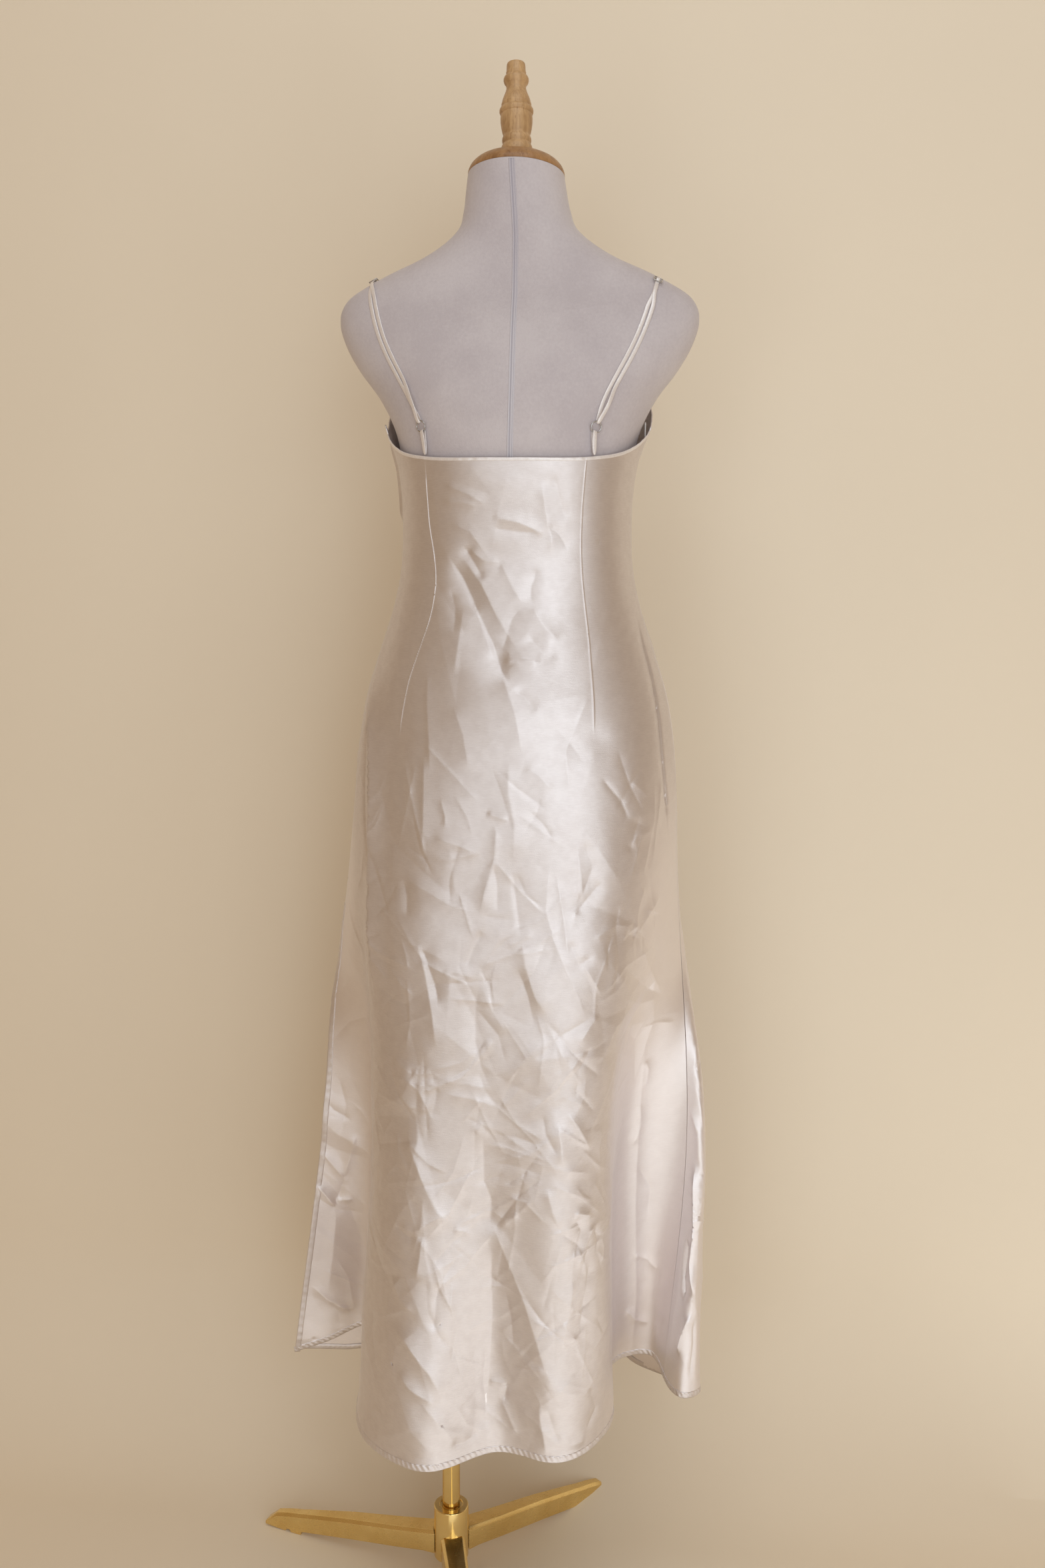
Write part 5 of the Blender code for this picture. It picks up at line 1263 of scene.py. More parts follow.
def knit_group(name):
    """Fine jersey: tiny stitches in columns with a soft fluff over them, as a height and a tone."""
    tree, given, made = new_group(
        name,
        (("Vector", "NodeSocketVector", None),),
        (("Height", "NodeSocketFloat"), ("Tone", "NodeSocketFloat")),
    )
    vector = given.outputs["Vector"]
    rows = stretched(tree, vector, (900.0, 900.0, 520.0))
    stitch = add_node(tree, "ShaderNodeTexVoronoi", {"Vector": rows, "Scale": 1.0}).outputs["Distance"]
    fluff = noise_value(tree, vector, 320.0, 3.0)
    cloud = noise_value(tree, vector, 14.0, 3.0)
    height = worked_out(tree, "ADD", stitch, fluff)
    tone = worked_out(tree, "MULTIPLY_ADD", fluff, 0.45, cloud)
    feed(tree, made, {"Height": height, "Tone": tone})
    return tree


def new_material(name):
    """A material with its tree, its Principled shader and the object's own coordinates."""
    material = bpy.data.materials.new(name)
    material.use_nodes = True
    tree = material.node_tree
    where = tree.nodes.new("ShaderNodeTexCoord").outputs["Object"]
    return material, tree, tree.nodes["Principled BSDF"], where


def satin_material(name, colours, grain=1.0):
    """Champagne satin: a soft broad sheen over a faintly slubbed weave."""
    material, tree, shader, _ = new_material(name)
    uv = add_node(tree, "ShaderNodeUVMap", uv_map="cloth").outputs[0]
    weave = use_group(tree, "Satin weave", weave_group, {"Vector": uv, "Grain": grain})
    spread = ramp(tree, weave.outputs["Tone"], ((0.40, 0.0), (0.60, 1.0)))
    base = tint(tree, spread, colours.satin, colours.satin_shade)
    # Painted light masks: a painted warm reflection low at the right, then painted light that makes the
    # flares, the right of the back and the inside paler.
    for mask, tone in (("painted_reflection", colours.satin_painted_reflection), ("pale", colours.satin_painted_light)):
        amount = add_node(tree, "ShaderNodeAttribute", attribute_name=mask).outputs["Fac"]
        base = tint(tree, amount, base, tone)
    feed(tree, shader, {
        "Base Color": base,
        "Roughness": between(tree, weave.outputs["Tone"], 0.40, 0.46),
        "Metallic": 0.82,
        "IOR": 1.55,
        "Sheen Weight": 0.06,
        "Sheen Roughness": 0.45,
    })
    bump(tree, shader, weave.outputs["Height"], 0.35, 0.00025)
    return material


def highlighted_narrow_satin(name, colours):
    """The satin as it looks on narrow tubes, with a painted highlight: a lighter tone mixed in, its weave
    read from where the piece lies.
    """
    material, tree, shader, where = new_material(name)
    fine = noise_value(tree, where, 700.0, 3.0)
    base = tint(tree, fine, colours.narrow, colours.satin)
    feed(tree, shader, {"Base Color": base, "Roughness": 0.36, "Metallic": 0.35, "IOR": 1.55})
    bump(tree, shader, fine, 0.4, 0.0002)
    return material


def plain_material(name, colour, roughness):
    """Thread, enamel and cotton, with a faint uneven tone."""
    material, tree, shader, where = new_material(name)
    speckle = noise_value(tree, where, 600.0, 3.0)
    darker = [c * 0.88 for c in colour]
    feed(tree, shader, {"Base Color": tint(tree, speckle, colour, darker), "Roughness": roughness})
    bump(tree, shader, speckle, 0.4, 0.0001)
    return material


def metal_material(name, colour, deep, roughness, scale=1.0):
    """Metal that is tarnished in clouds and finely scuffed."""
    material, tree, shader, where = new_material(name)
    wear = use_group(tree, "Metal wear", wear_group, {"Vector": where, "Scale": scale})
    feed(tree, shader, {
        "Base Color": tint(tree, wear.outputs["Mask"], colour, deep),
        "Roughness": between(tree, wear.outputs["Scuff"], roughness * 0.9, roughness * 1.15),
        "Metallic": 1.0,
    })
    bump(tree, shader, wear.outputs["Scuff"], 0.02, 0.0001)
    return material


def wood_material(name, light, dark, roughness, scale=1.0):
    """Varnished wood with its grain along the height."""
    material, tree, shader, where = new_material(name)
    inputs = {"Vector": where, "Light": (*light, 1.0), "Dark": (*dark, 1.0), "Streak scale": scale}
    grain = use_group(tree, "Wood grain", grain_group, inputs)
    feed(tree, shader, {"Base Color": grain.outputs["Color"], "Roughness": roughness})
    bump(tree, shader, grain.outputs["Height"], 0.25, 0.0003)
    return material


def jersey_material(name, colours):
    """The form's matt knitted cover."""
    material, tree, shader, where = new_material(name)
    knit = use_group(tree, "Jersey knit", knit_group, {"Vector": where})
    spread = ramp(tree, knit.outputs["Tone"], ((0.55, 0.0), (0.90, 1.0)))
    base = tint(tree, spread, colours.jersey, colours.jersey_shade)
    feed(tree, shader, {"Base Color": base, "Roughness": 0.88, "Sheen Weight": 0.25, "Sheen Roughness": 0.6})
    bump(tree, shader, knit.outputs["Height"], 0.35, 0.0003)
    return material


# Where the tape's sewn lines and edges are dark, across its width.
TAPE_LINES = (
    (0.0, 0.8), (0.06, 0.8), (0.12, 0.0), (0.30, 0.0), (0.36, 0.5), (0.48, 0.5), (0.54, 0.0), (0.70, 0.0),
    (0.74, 0.7), (0.78, 0.0), (0.90, 0.0), (0.95, 0.8), (1.0, 0.8),
)


def tape_material(name, colours):
    """The form's seam tape: pale lower down and darker towards the neck, with lines along it."""
    material, tree, shader, where = new_material(name)
    uv = add_node(tree, "ShaderNodeUVMap", uv_map="cloth").outputs[0]
    along, over, _ = add_node(tree, "ShaderNodeSeparateXYZ", {0: uv}).outputs
    up = add_node(tree, "ShaderNodeMapRange", {"Value": along, "From Min": 0.09, "From Max": 0.19})
    base = tint(tree, up.outputs["Result"], colours.tape_dark, colours.tape)
    weave = noise_value(tree, where, 900.0, 2.0)
    base = tint(tree, weave, base, colours.jersey)
    line = ramp(tree, worked_out(tree, "MULTIPLY", over, 1 / (11 * MM)), TAPE_LINES)
    feed(tree, shader, {"Base Color": tint(tree, line, base, colours.tape_line), "Roughness": 0.8})
    bump(tree, shader, weave, 0.4, 0.0002)
    return material


def wall_material(name, colours):
    """Matt paper, seen from its front only."""
    material, tree, shader, where = new_material(name)
    cloud = noise_value(tree, where, 3.0, 4.0)
    darker = [c * 0.96 for c in colours.wall]
    feed(tree, shader, {"Base Color": tint(tree, cloud, colours.wall, darker), "Roughness": 0.9})
    clear = tree.nodes.new("ShaderNodeBsdfTransparent")
    facing = tree.nodes.new("ShaderNodeNewGeometry")
    inputs = {0: facing.outputs["Backfacing"], 1: shader.outputs[0], 2: clear.outputs[0]}
    mix = add_node(tree, "ShaderNodeMixShader", inputs)
    tree.links.new(mix.outputs[0], tree.nodes["Material Output"].inputs["Surface"])
    return material


def material_once(name, build, *given, **options):
    if name not in bpy.data.materials:
        build(name, *given, **options)
    return bpy.data.materials[name]


# ---------------------------------------------------------------- settings
def length(name, description, value):
    return FloatProperty(
        name=name, description=description, default=value, min=0.0, unit="LENGTH", precision=5
    )


def colour(name, description, value):
    return FloatVectorProperty(
        name=name, description=description, default=value, size=3, min=0.0, max=1.0, subtype="COLOR"
    )


class SlipDressSizes(bpy.types.PropertyGroup):
    """Sizes of the sewn detail."""

    hem_band: length("Hem band", "Width of the turned-up hem", 0.0072)
    hem_rope: length("Hem rope", "Rise of the twisted ripple in the hem", 0.00045)
    hem_rope_step: length("Hem rope step", "Length of one ripple of the hem", 0.0068)
    slit_band: length("Slit band", "Width of the turned edge of the slit", 0.0065)
    top_roll: length("Top roll", "Width of the understitched top edge", 0.0028)
    stitch: length("Stitch", "Length of one stitch", 0.0021)
    stitch_step: length("Stitch step", "Distance between stitches", 0.0029)
    thread: length("Thread", "Thickness of the sewing thread", 0.00042)
    form_tape: length("Form tape", "Width of the tape over the form's back seam", 0.0062)


class SlipDressColours(bpy.types.PropertyGroup):
    """Colours of all finishes, the studio's included."""

    satin: colour("Satin", "Lit side of the weave", (0.738, 0.686, 0.676))
    satin_shade: colour("Satin shade", "Deeper tone of the slubs", (0.695, 0.640, 0.628))
    # Painted light: a lighter satin mixed in on the flares, the right of the back and the inside to make
    # them brighter.
    satin_painted_light: colour(
        "Satin pale", "Lighter tone given to the outer flares and the inside", (0.90, 0.855, 0.865)
    )
    # Painted reflection: a warm tone mixed into a patch low at the right of the back.
    satin_painted_reflection: colour("Satin blush", "Warmer tone given to a patch low at the right", (0.79, 0.685, 0.645))
    # Painted highlight: a lighter copy of the satin for the straps, tabs and top rolls.
    narrow: colour("Narrow satin", "Lighter tone given to the straps and tabs", (0.93, 0.89, 0.875))
    thread: colour("Thread", "Sewing thread", (0.78, 0.70, 0.63))
    jersey: colour("Jersey", "Cover of the form", (0.590, 0.541, 0.558))
    jersey_shade: colour("Jersey shade", "Deeper tone of the cover", (0.510, 0.460, 0.481))
    tape: colour("Tape", "Tape over the form's back seam", (0.60, 0.60, 0.66))
    tape_line: colour("Tape line", "The tape's sewn lines", (0.26, 0.24, 0.30))
    tape_dark: colour("Tape dark", "The tape towards the neck", (0.42, 0.40, 0.46))
    wood: colour("Wood", "Turned wood", (0.62, 0.40, 0.20))
    wood_dark: colour("Wood dark", "Its streaks and stains", (0.34, 0.185, 0.075))
    cap: colour("Cap", "Neck cap's wood", (0.44, 0.24, 0.10))
    cap_dark: colour("Cap dark", "Its streaks and stains", (0.22, 0.10, 0.035))
    brass: colour("Brass", "Bright brass", (0.86, 0.66, 0.30))
    brass_deep: colour("Brass deep", "Tarnished brass", (0.78, 0.57, 0.235))
    silver: colour("Silver", "Rings and sliders", (0.50, 0.49, 0.49))
    enamel: colour("Enamel", "Zip pull", (0.80, 0.79, 0.78))
    wall: colour("Wall", "Studio wall and floor", (0.872, 0.772, 0.622))


class SLIPDRESS_OT_panels(bpy.types.Operator):
    """Build the creased back and front panels"""

    bl_idname = "slipdress.panels"
    bl_label = "Satin Panels"

    def execute(self, context):
        colours = context.scene.slip_dress_colours
        satin = material_once("satin", satin_material, colours)
        back, front = cut_panels()
        for name, panel, flat, area in (
            ("back", back, (0.905, 1.155), 0.66),
            ("front", front, (0.80, 1.24), 0.69),
        ):
            obj, flat_spots = shell(name + "_satin", panel)
            add_painted_light(obj, flat_spots, len(flat_spots) - panel.z[::2, ::2].size, name == "back")
            dressed(obj, satin, name + "_panel", name + "_panel")
        return {"FINISHED"}


def add_painted_light(obj, flat, outer, on_back):
    """Two painted light corrections, as masks: a faint painted warm reflection low at the right, and painted
    light that makes the flares, the right of the back and the inside paler.
    """
    across, z = flat.T
    amount = np.zeros(len(flat))
    flare = ease((-0.20 - across) / 0.05)
    if on_back:
        # Painted warm reflection: a soft patch low at the right of the back.
        amount = 0.8 * np.exp(-(((across - 0.35) / 0.04) ** 2) - ((z - 0.40) / 0.12) ** 2)
        # Painted light over the right of the back below the hips, stronger higher up.
        high = 0.75 + 0.55 * ease((z - 0.62) / 0.12)
        flare = flare + high * ease((across - 0.12) / 0.08) * ease((1.10 - z) / 0.20)
    # Painted light: 0.6 of the flare mask, and full on the inside points.
    pale = 0.6 * flare
    pale[outer:] = 1.0
    for name, values in (("painted_reflection", amount), ("pale", pale)):
        obj.data.attributes.new(name, "FLOAT", "POINT").data.foreach_set("value", values.astype(np.float32))


CUT = {}


def cut_panels():
    """Both panels, shaped once and kept for the pieces that are sewn to them."""
    if CUT:
        return CUT["back"], CUT["front"]
    form = ClothForm()

    def on_back(across, z):
        """How strong the unevenness is: full on the skirt, less on the bodice and the flares."""
        skirt = ease((1.10 - z) / 0.16)
        amount = 0.40 + 0.60 * skirt
        right = ease((across - 0.20) / 0.06)
        left = ease((-across - 0.22) / 0.06)
        return amount * (1 - 0.55 * right) * (1 - 0.15 * left)

    def on_front(_across, z):
        return 0.30 + 0.35 * ease((1.10 - z) / 0.30)

    back_creases = CREASES + small_creases(5, 2, 210, (-180, 300), (205, 1020))
    back_creases += small_creases(8, 0, 70, (-440, 320), (250, 900), 1.2)
    back = Panel(
        form, 0.0, float(BACK_SEAM), CENTRE_BACK, BACK_NECKLINE,
        spacing=0.085, rows=241, darts=DARTS, creases=back_creases, amounts=on_back, seed=4.7,
    )
    front_creases = FRONT_CREASES + small_creases(3, 14, 60, (-330, 300), (330, 1050))
    front = Panel(
        form, float(BACK_SEAM), FRONT_EDGE, CENTRE_FRONT, FRONT_NECKLINE,
        spacing=0.10, rows=241, darts=(), creases=front_creases, amounts=on_front, seed=9.2,
    )
    seams = ((back, 0, front, -1), (back, -1, front, 0), (front, 0, back, -1), (front, -1, back, 0))
    rooms = [seam_room(*seam) for seam in seams]
    for (panel, edge, _, _), room in zip(seams, rooms):
        panel.draw_in(edge, room)
    for panel in (back, front):
        panel.room = panel.clearance()
    CUT.update(back=back, front=front)
    return back, front


def edge_of(panel, side, count, span=None):
    """Frame of a panel's edge: line, direction into the cloth and outward normal."""
    points = panel.points
    normal = unit(np.cross(np.gradient(points, axis=0), np.gradient(points, axis=1)))
    picks = {
        "top": (points[0], points[4] - points[0], normal[2]),
        "bottom": (points[-1], points[-5] - points[-1], normal[-3]),
        "first": (points[:, 0], points[:, 3] - points[:, 0], normal[:, 2]),
        "last": (points[:, -1], points[:, -4] - points[:, -1], normal[:, -3]),
    }
    line, inward, outward = picks[side]
    if span is not None:
        low, high = span
        keep = (line[:, 2] <= high) & (line[:, 2] >= low)
        line, inward, outward = line[keep], inward[keep], outward[keep]
    keys = distances(line)
    at = np.linspace(0, keys[-1], count)
    even = read_at(at, keys, line)
    ahead = unit(np.gradient(even, axis=0))
    outward = unit(read_at(at, keys, unit(outward)))
    outward = unit(outward - ahead * np.sum(outward * ahead, axis=1, keepdims=True))
    depth = np.cross(outward, ahead)
    depth *= np.sign(np.sum(depth * read_at(at, keys, inward), axis=1, keepdims=True))
    return even, depth, outward


def turned_edge(width):
    """Section of a turned and pressed edge, distances into the cloth and outwards in millimetres."""
    w = width / MM
    return (
        (w, 0.05), (w * 0.97, 0.34), (w * 0.86, 0.46), (w * 0.62, 0.50), (w * 0.36, 0.54), (w * 0.12, 0.50),
        (-0.25, 0.32), (-0.60, -0.10), (-0.62, -0.62), (-0.25, -1.10), (w * 0.15, -1.34), (w * 0.5, -1.36),
        (w * 0.95, -1.20), (w, -0.85),
    )


class SLIPDRESS_OT_edges(bpy.types.Operator):
    """Sew the hems, slit edges and top edges, with their stitches"""

    bl_idname = "slipdress.edges"
    bl_label = "Hems and Edges"

    def execute(self, context):
        sizes = context.scene.slip_dress_sizes
        colours = context.scene.slip_dress_colours
        satin = material_once("satin_edges", satin_material, colours, grain=1.0)
        narrow = material_once("satin_narrow", highlighted_narrow_satin, colours)
        thread = material_once("thread", plain_material, colours.thread, 0.7)
        back, front = cut_panels()
        fine = 3

        def rope(lengths, into, out):
            wave = np.sin(2 * np.pi * (lengths / sizes.hem_rope_step + into / 0.010))
            wave = wave + 0.35 * np.sin(2 * np.pi * (lengths / (sizes.hem_rope_step * 2.7) - into / 0.02))
            inside = min(1.0, max(0.0, into / sizes.hem_band))
            crown = 0.35 + 0.65 * math.sin(math.pi * inside)
            return wave * sizes.hem_rope * crown * (1.0 if out > 0 else 0.3)

        def press(lengths, _into, _out):
            wave = np.sin(2 * np.pi * lengths / 0.011) + 0.6 * np.sin(2 * np.pi * lengths / 0.0267 + 1.0)
            return wave * 0.00012

        edges = (
            # piece, panel, side, width, ripple, points, span
            ("back_hem", back, "bottom", sizes.hem_band, rope, 420, None),
            ("front_hem", front, "bottom", sizes.hem_band, rope, 480, None),
            ("back_slit", back, "first", sizes.slit_band, press, 220, (0.0, SLIT_TOP - 0.030)),
            ("front_slit", front, "last", sizes.slit_band, press, 220, (0.0, SLIT_TOP - 0.030)),
            ("back_top", back, "top", sizes.top_roll, press, 220, None),
            ("front_top", front, "top", sizes.top_roll, press, 220, None),
        )
        for name, panel, side, width, ripple, count, span in edges:
            edge = edge_of(panel, side, count * fine, span)
            slot = ("back" if panel is back else "front") + "_panel"
            # The top edges take the lighter narrow satin, a painted highlight along the roll.
            dressed(band(name, edge, turned_edge(width), ripple), narrow if side == "top" else satin, slot)
            if side != "top":
                sewn = stitches(
                    name + "_stitches", edge, width * 0.80, 0.00052,
                    sizes.stitch_step, sizes.stitch, sizes.thread,
                )
                dressed(sewn, thread, slot)
        dressed(bartack(back, front, sizes), thread, "back_panel")
        return {"FINISHED"}


def bartack(back, front, sizes):
    """The close stitches that lock the top of the slit, across the seam."""
    ends = []
    for panel, column_at in ((back, 0), (front, -1)):
        row = int(np.argmin(np.abs(panel.points[:, column_at, 2] - SLIT_TOP)))
        inner = 2 if column_at == 0 else -3
        ends.append((panel.points[row, inner], unit(np.cross(
            panel.points[row + 1, inner] - panel.points[row, inner],
            panel.points[row, inner + 1] - panel.points[row, inner],
        ))))
    line = np.linspace(ends[0][0], ends[1][0], 24)
    outward = np.linspace(ends[0][1], ends[1][1], 24)
    outward = outward * np.sign(np.sum(outward * ends[0][1], axis=1, keepdims=True))
    depth = np.cross(outward, unit(np.gradient(line, axis=0)))
    return stitches("bartack", (line, depth, outward), 0.0, 0.0006, sizes.thread, sizes.stitch * 1.4, 0.0009)


class SLIPDRESS_OT_straps(bpy.types.Operator):
    """Build the rouleau straps and the tabs that hold their rings"""

    bl_idname = "slipdress.straps"
    bl_label = "Straps and Tabs"

    def execute(self, context):
        colours = context.scene.slip_dress_colours
        # The straps and tabs take the lighter narrow satin, a painted highlight.
        satin = material_once("satin_narrow", highlighted_narrow_satin, colours)
        for name in ("strap_left", "strap_right", "tab_left", "tab_right"):
            obj = copy_of(name, name + "_sewn", 0.0)
            only(obj)
            bpy.ops.object.mode_set(mode="EDIT")
            bpy.ops.mesh.select_all(action="SELECT")
            limit = math.radians(60)
            bpy.ops.mesh.tris_convert_to_quads(face_threshold=limit, shape_threshold=limit)
            bpy.ops.object.mode_set(mode="OBJECT")
            refined(obj, 2)
            dressed(obj, satin, name, name)
        return {"FINISHED"}


class SLIPDRESS_OT_hardware(bpy.types.Operator):
    """Build rings, sliders and the side zip"""

    bl_idname = "slipdress.hardware"
    bl_label = "Rings, Sliders and Zip"

    def execute(self, context):
        colours = context.scene.slip_dress_colours
        silver = material_once("silver", metal_material, colours.silver, colours.silver, 0.22, scale=6.0)
        enamel = material_once("enamel", plain_material, colours.enamel, 0.3)
        cotton = material_once("cotton", plain_material, colours.satin, 0.8)
        for name, material, rounding in (
            ("ring_left", silver, 0.0),
            ("ring_right", silver, 0.0),
            ("slider_left", silver, 0.00018),
            ("slider_right", silver, 0.00018),
            ("zip_pull", enamel, 0.0004),
            ("zip_tape", cotton, 0.0002),
        ):
            obj = copy_of(name, name + "_finished", rounding)
            if name.startswith("ring"):
                refined(obj, 1)
            dressed(obj, material, name, name)
        return {"FINISHED"}


# ---------------------------------------------------------------- the form
def torso_point(z, degrees):
    """Points of the jersey body. Towards its top the neck grows round, leans forward and slants."""
    neck = ease((z - NECK_ROOT) / (NECK_TOP - NECK_ROOT))
    roundness = ROUNDNESS + (1 - ROUNDNESS) * np.minimum(1.0, neck * 2)
    width, back, front = [smooth(z, column(TORSO, 0), column(TORSO, i)) for i in (1, 2, 3)]
    x, y = np.moveaxis(round_section(width, back, front, degrees, roundness), -1, 0)
    away = ((np.abs(x) - BUST_POINT[0]) ** 2 + (z - BUST_POINT[1]) ** 2) / BUST_SPREAD**2
    y = np.where(y < 0, y - BUST_RISE * np.exp(-away) * np.minimum(1.0, -y / 0.04), y)
    slant = neck * math.tan(NECK_TILT) * y
    return np.stack([x + neck * NECK_CENTRE[0], y + neck * NECK_CENTRE[1], z + slant], -1)


class SLIPDRESS_OT_torso(bpy.types.Operator):
    """Build the jersey body and the tape over its back seam"""

    bl_idname = "slipdress.torso"
    bl_label = "Jersey Form"

    def execute(self, context):
        sizes = context.scene.slip_dress_sizes
        colours = context.scene.slip_dress_colours
        jersey = material_once("jersey", jersey_material, colours)
        tape = material_once("seam_tape", tape_material, colours)
        levels = np.concatenate([np.linspace(0.930, 1.44, 90), np.linspace(1.443, 1.6795, 110)])
        angles = np.arange(160) * 360 / 160
        z, degrees = np.meshgrid(levels, angles, indexing="ij")
        points = torso_point(z, degrees)
        body = mesh_object("jersey_body", points, tube_faces(*z.shape))
        face_outwards(body)
        body.data.set_sharp_from_angle(angle=math.radians(45))
        dressed(body, jersey, "torso", "torso")

        z = np.linspace(TAPE_TOP, TAPE_BOTTOM, 160)
        middle = np.full_like(z, 90.0) + smooth(z, column(TAPE_LINE, 0), column(TAPE_LINE, 1))
        line = torso_point(z, middle)
        ahead = unit(np.gradient(line, axis=0))
        side = unit(torso_point(z, middle + 1.0) - line)
        outward = unit(np.cross(side, ahead))
        outward *= np.sign(outward[:, 1:2])
        edge = (line, side, outward)
        half = sizes.form_tape / 2 / MM
        section = (
            (-half, -0.3), (-half, 0.25), (-half * 0.86, 0.42), (-half * 0.55, 0.42), (-half * 0.42, 0.22),
            (-half * 0.28, 0.42), (half * 0.28, 0.42), (half * 0.42, 0.22), (half * 0.55, 0.42),
            (half * 0.86, 0.42), (half, 0.25), (half, -0.3),
        )
        dressed(band("seam_tape", edge, section), tape, "torso")
        return {"FINISHED"}


class SLIPDRESS_OT_neck(bpy.types.Operator):
    """Turn the neck cap and the finial"""

    bl_idname = "slipdress.neck"
    bl_label = "Cap and Finial"

    def execute(self, context):
        colours = context.scene.slip_dress_colours
        wood = material_once("wood", wood_material, colours.wood, colours.wood_dark, 0.42)
        cap = material_once("cap_wood", wood_material, colours.cap, colours.cap_dark, 0.38, scale=0.6)
        slant = Matrix.Rotation(NECK_TILT, 4, "X")
        base = Vector((*NECK_CENTRE, NECK_TOP)) + Vector(PLACE)
        up = slant @ Vector((0, 0, 1))
        lean = slant @ Matrix.Rotation(FINIAL_LEAN, 4, "Y")
        profile = [(r * MM, h * MM) for r, h in CAP_PROFILE]
        seat = Matrix.Translation(base + up * GAP) @ slant
        dressed(lathe("cap", profile, 96, seat), cap, "neck_cap", "neck_cap")
        profile = [(r * MM, h * MM) for r, h in FINIAL_PROFILE]
        seat = Matrix.Translation(base + up * FINIAL_FOOT) @ lean
        dressed(lathe("turned_finial", profile, 72, seat), wood, "finial", "finial")
        return {"FINISHED"}


class SLIPDRESS_OT_stand(bpy.types.Operator):
    """Build the base plate, sleeve, pole, hub and legs"""

    bl_idname = "slipdress.stand"
    bl_label = "Brass Stand"

    def execute(self, context):
        colours = context.scene.slip_dress_colours
        brass = material_once("brass", metal_material, colours.brass, colours.brass_deep, 0.17)
        cast = material_once("cast_brass", metal_material, colours.brass, colours.brass_deep, 0.26)
        wood = material_once("wood", wood_material, colours.wood, colours.wood_dark, 0.42)
        plate = copy_of("base_plate", "plate", 0.0012)
        dressed(plate, wood, "base_plate", "base_plate")
        axis = Matrix.Translation(Vector((*POLE_AXIS, 0.0)) + Vector(PLACE))
        bore = POLE_BORE
        under = PLATE_UNDERSIDE
        pole = ((0.0102, 0.0635), (POLE_RADIUS, 0.0643), (POLE_RADIUS, under - 0.0018))
        dressed(lathe("brass_pole", pole, 64, axis), brass, "pole", "pole")
        hub = (
            (0.0205, 0.0340), (0.0215, 0.0350), (0.0215, 0.1020), (0.0212, 0.1027), (0.0205, 0.1032),
            (0.0150, 0.1032), (0.0144, 0.1028), (0.0143, 0.1017), (bore, 0.1015), (bore, 0.0632),
        )
        dressed(lathe("brass_hub", hub, 72, axis), brass, "hub", "hub")
        sleeve = (
            (bore, under - 0.0012), (bore, under - 0.0300), (0.0149, under - 0.0300),
            (0.0155, under - 0.0294), (0.0155, under - 0.0046), (0.0330, under - 0.0040),
            (0.0340, under - 0.0032), (0.0340, under),
        )
        dressed(lathe("brass_sleeve", sleeve, 64, axis), brass, "pole_sleeve", "pole_sleeve")
        for name in ("leg_back", "leg_front_left", "leg_front_right"):
            leg = copy_of(name, name + "_cast", 0.0016, segments=3, angle=25)
            dressed(leg, cast, name, name)
        return {"FINISHED"}


# ---------------------------------------------------------------- the studio
def area_light(name, place, target, size, power, tone):
    data = bpy.data.lights.new(name, "AREA")
    data.shape = "RECTANGLE"
    data.size, data.size_y = size
    data.energy = power
    data.color = tone
    obj = bpy.data.objects.new(name, data)
    bpy.context.scene.collection.objects.link(obj)
    obj.location = place
    aim = Vector(target) - Vector(place)
    obj.rotation_euler = aim.to_track_quat("-Z", "Y").to_euler()
    obj.visible_camera = False
    return obj


# A wide bright window behind the camera, in panes: degrees round from straight behind it, height and watts.
WINDOW_DISTANCE = 2.6
WINDOW_HIGH = 1.95
WINDOW_LOW = 0.75
PANE_SIZE = (0.56, 1.2)
WINDOW_TONE = (0.76, 0.89, 1.0)
FLOOR_TONE = (0.84, 0.93, 1.0)
WORLD_TONE = (0.90, 0.62, 0.36, 1.0)
WORLD_STRENGTH = 0.41
WINDOW_PANES = (
    (16, WINDOW_HIGH, 6.5), (16, WINDOW_LOW, 4.5),
    (-8, WINDOW_HIGH, 3.0), (-8, WINDOW_LOW, 2.5),
    (28, WINDOW_HIGH, 3.0), (28, WINDOW_LOW, 2.5),
    (-20, WINDOW_LOW, 3.5), (42, WINDOW_LOW, 5.0),
)


def window_place(degrees, height):
    """Where a pane of the window hangs, and the spot on the dress that it faces."""
    angle = math.radians(degrees)
    place = (-math.sin(angle) * WINDOW_DISTANCE, math.cos(angle) * WINDOW_DISTANCE, height)
    return place, (0.0, 0.0, height - 0.1)


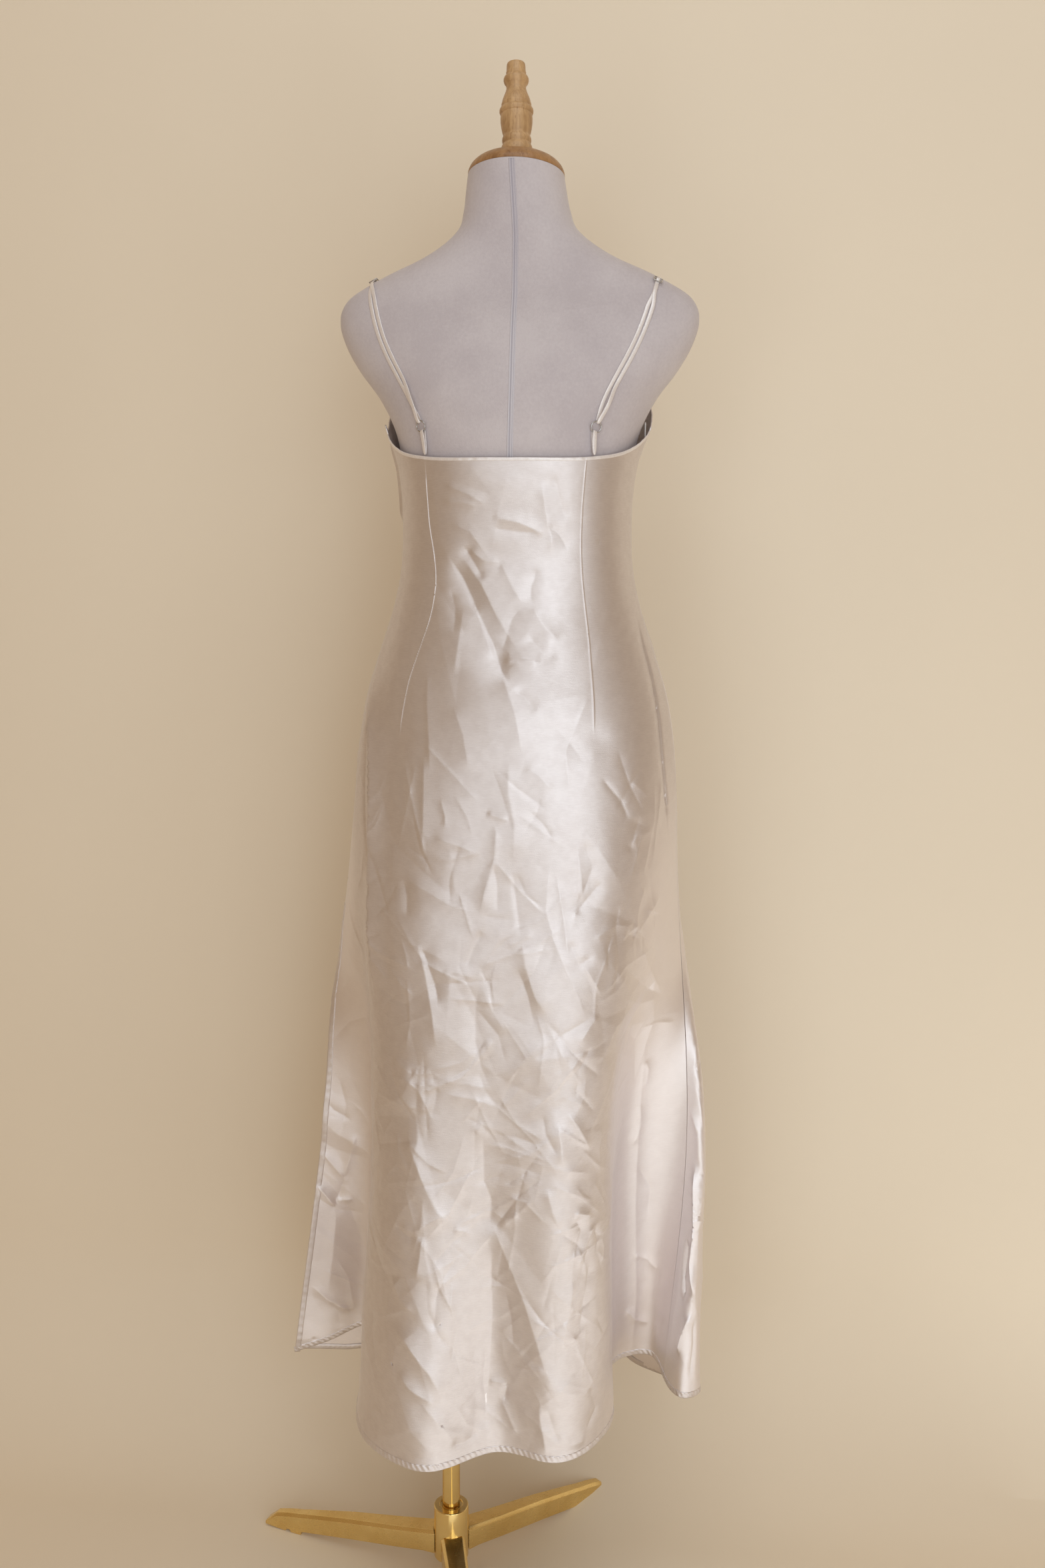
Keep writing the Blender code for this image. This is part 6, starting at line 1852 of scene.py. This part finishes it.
class SLIPDRESS_OT_studio(bpy.types.Operator):
    """Set up the paper sweep, the lights and the camera"""

    bl_idname = "slipdress.studio"
    bl_label = "Studio"

    def execute(self, context):
        scene = context.scene
        colours = scene.slip_dress_colours
        paper = material_once("paper", wall_material, colours)
        profile = [(SWEEP_FRONT, 0.0)]
        for degrees in range(0, 91, 9):
            angle = math.radians(degrees)
            back = SWEEP_BEND * math.sin(angle)
            profile.append((WALL_Y + SWEEP_BEND - back, SWEEP_BEND - SWEEP_BEND * math.cos(angle)))
        profile.append((WALL_Y, SWEEP_TOP))
        points = [(x, y, z) for y, z in profile for x in (SWEEP_HALF_WIDTH, -SWEEP_HALF_WIDTH)]
        faces = [(2 * i, 2 * i + 1, 2 * i + 3, 2 * i + 2) for i in range(len(profile) - 1)]
        mesh = bpy.data.meshes.new("sweep")
        mesh.from_pydata(points, [], faces)
        mesh.shade_smooth()
        sweep = bpy.data.objects.new("sweep", mesh)
        scene.collection.objects.link(sweep)
        mesh.materials.append(paper)

        world = bpy.data.worlds.new("studio")
        scene.world = world
        world.use_nodes = True
        background = world.node_tree.nodes["Background"]
        feed(world.node_tree, background, {"Color": WORLD_TONE, "Strength": WORLD_STRENGTH})
        lights = [
            area_light(f"window_{i}", *window_place(angle, height), PANE_SIZE, power, WINDOW_TONE)
            for i, (angle, height, power) in enumerate(WINDOW_PANES)
        ]
        lights += [
            area_light("ceiling", (-0.3, 1.2, 3.2), (-0.1, 0.0, 1.0), (2.0, 1.6), 16.0, WINDOW_TONE),
            area_light("floor_front", (-0.35, 0.80, 0.02), (-0.35, 0.81, 1.0), (0.8, 1.2), 2.0, FLOOR_TONE),
            area_light("floor_right", (-1.10, 0.45, 0.02), (-1.10, 0.46, 1.0), (0.8, 1.4), 3.0, FLOOR_TONE),
        ]
        scene.view_settings.view_transform = "Standard"
        add_camera(scene)
        return {"FINISHED"}


def add_camera(scene):
    data = bpy.data.cameras.new("camera")
    data.lens = 35.0
    data.sensor_height = 36.0
    data.sensor_fit = "VERTICAL"
    camera = bpy.data.objects.new("camera", data)
    scene.collection.objects.link(camera)
    yaw = math.radians(CAMERA_YAW)
    pitch = math.radians(CAMERA_PITCH)
    roll = math.radians(CAMERA_ROLL)
    ahead = Vector((math.sin(yaw) * math.cos(pitch), -math.cos(yaw) * math.cos(pitch), -math.sin(pitch)))
    right = ahead.cross(Vector((0, 0, 1))).normalized()
    up = right.cross(ahead)
    turned_right = right * math.cos(roll) + up * math.sin(roll)
    turned_up = up * math.cos(roll) - right * math.sin(roll)
    turn = Matrix((turned_right, turned_up, -ahead)).transposed().to_4x4()
    camera.matrix_world = Matrix.Translation(CAMERA_PLACE) @ turn
    scene.camera = camera


class SLIPDRESS_PT_panel(bpy.types.Panel):
    """Sizes, colours and builders of the slip dress"""

    bl_idname = "SLIPDRESS_PT_panel"
    bl_label = "Slip Dress"
    bl_space_type = "VIEW_3D"
    bl_region_type = "UI"
    bl_category = "Slip Dress"

    def draw(self, context):
        layout = self.layout
        for group in (context.scene.slip_dress_sizes, context.scene.slip_dress_colours):
            box = layout.box()
            for key in group.__annotations__:
                box.prop(group, key)
        for operator in OPERATORS:
            layout.operator(operator.bl_idname)


OPERATORS = (
    SLIPDRESS_OT_panels,
    SLIPDRESS_OT_edges,
    SLIPDRESS_OT_straps,
    SLIPDRESS_OT_hardware,
    SLIPDRESS_OT_torso,
    SLIPDRESS_OT_neck,
    SLIPDRESS_OT_stand,
    SLIPDRESS_OT_studio,
)
CLASSES = (SlipDressSizes, SlipDressColours, *OPERATORS, SLIPDRESS_PT_panel)


def register():
    for cls in CLASSES:
        bpy.utils.register_class(cls)
    bpy.types.Scene.slip_dress_sizes = PointerProperty(type=SlipDressSizes)
    bpy.types.Scene.slip_dress_colours = PointerProperty(type=SlipDressColours)


def unregister():
    del bpy.types.Scene.slip_dress_colours
    del bpy.types.Scene.slip_dress_sizes
    for cls in reversed(CLASSES):
        bpy.utils.unregister_class(cls)


def main():
    register()
    bpy.ops.slipdress.panels()
    bpy.ops.slipdress.edges()
    bpy.ops.slipdress.straps()
    bpy.ops.slipdress.hardware()
    bpy.ops.slipdress.torso()
    bpy.ops.slipdress.neck()
    bpy.ops.slipdress.stand()
    bpy.ops.slipdress.studio()


if __name__ == "__main__":
    main()
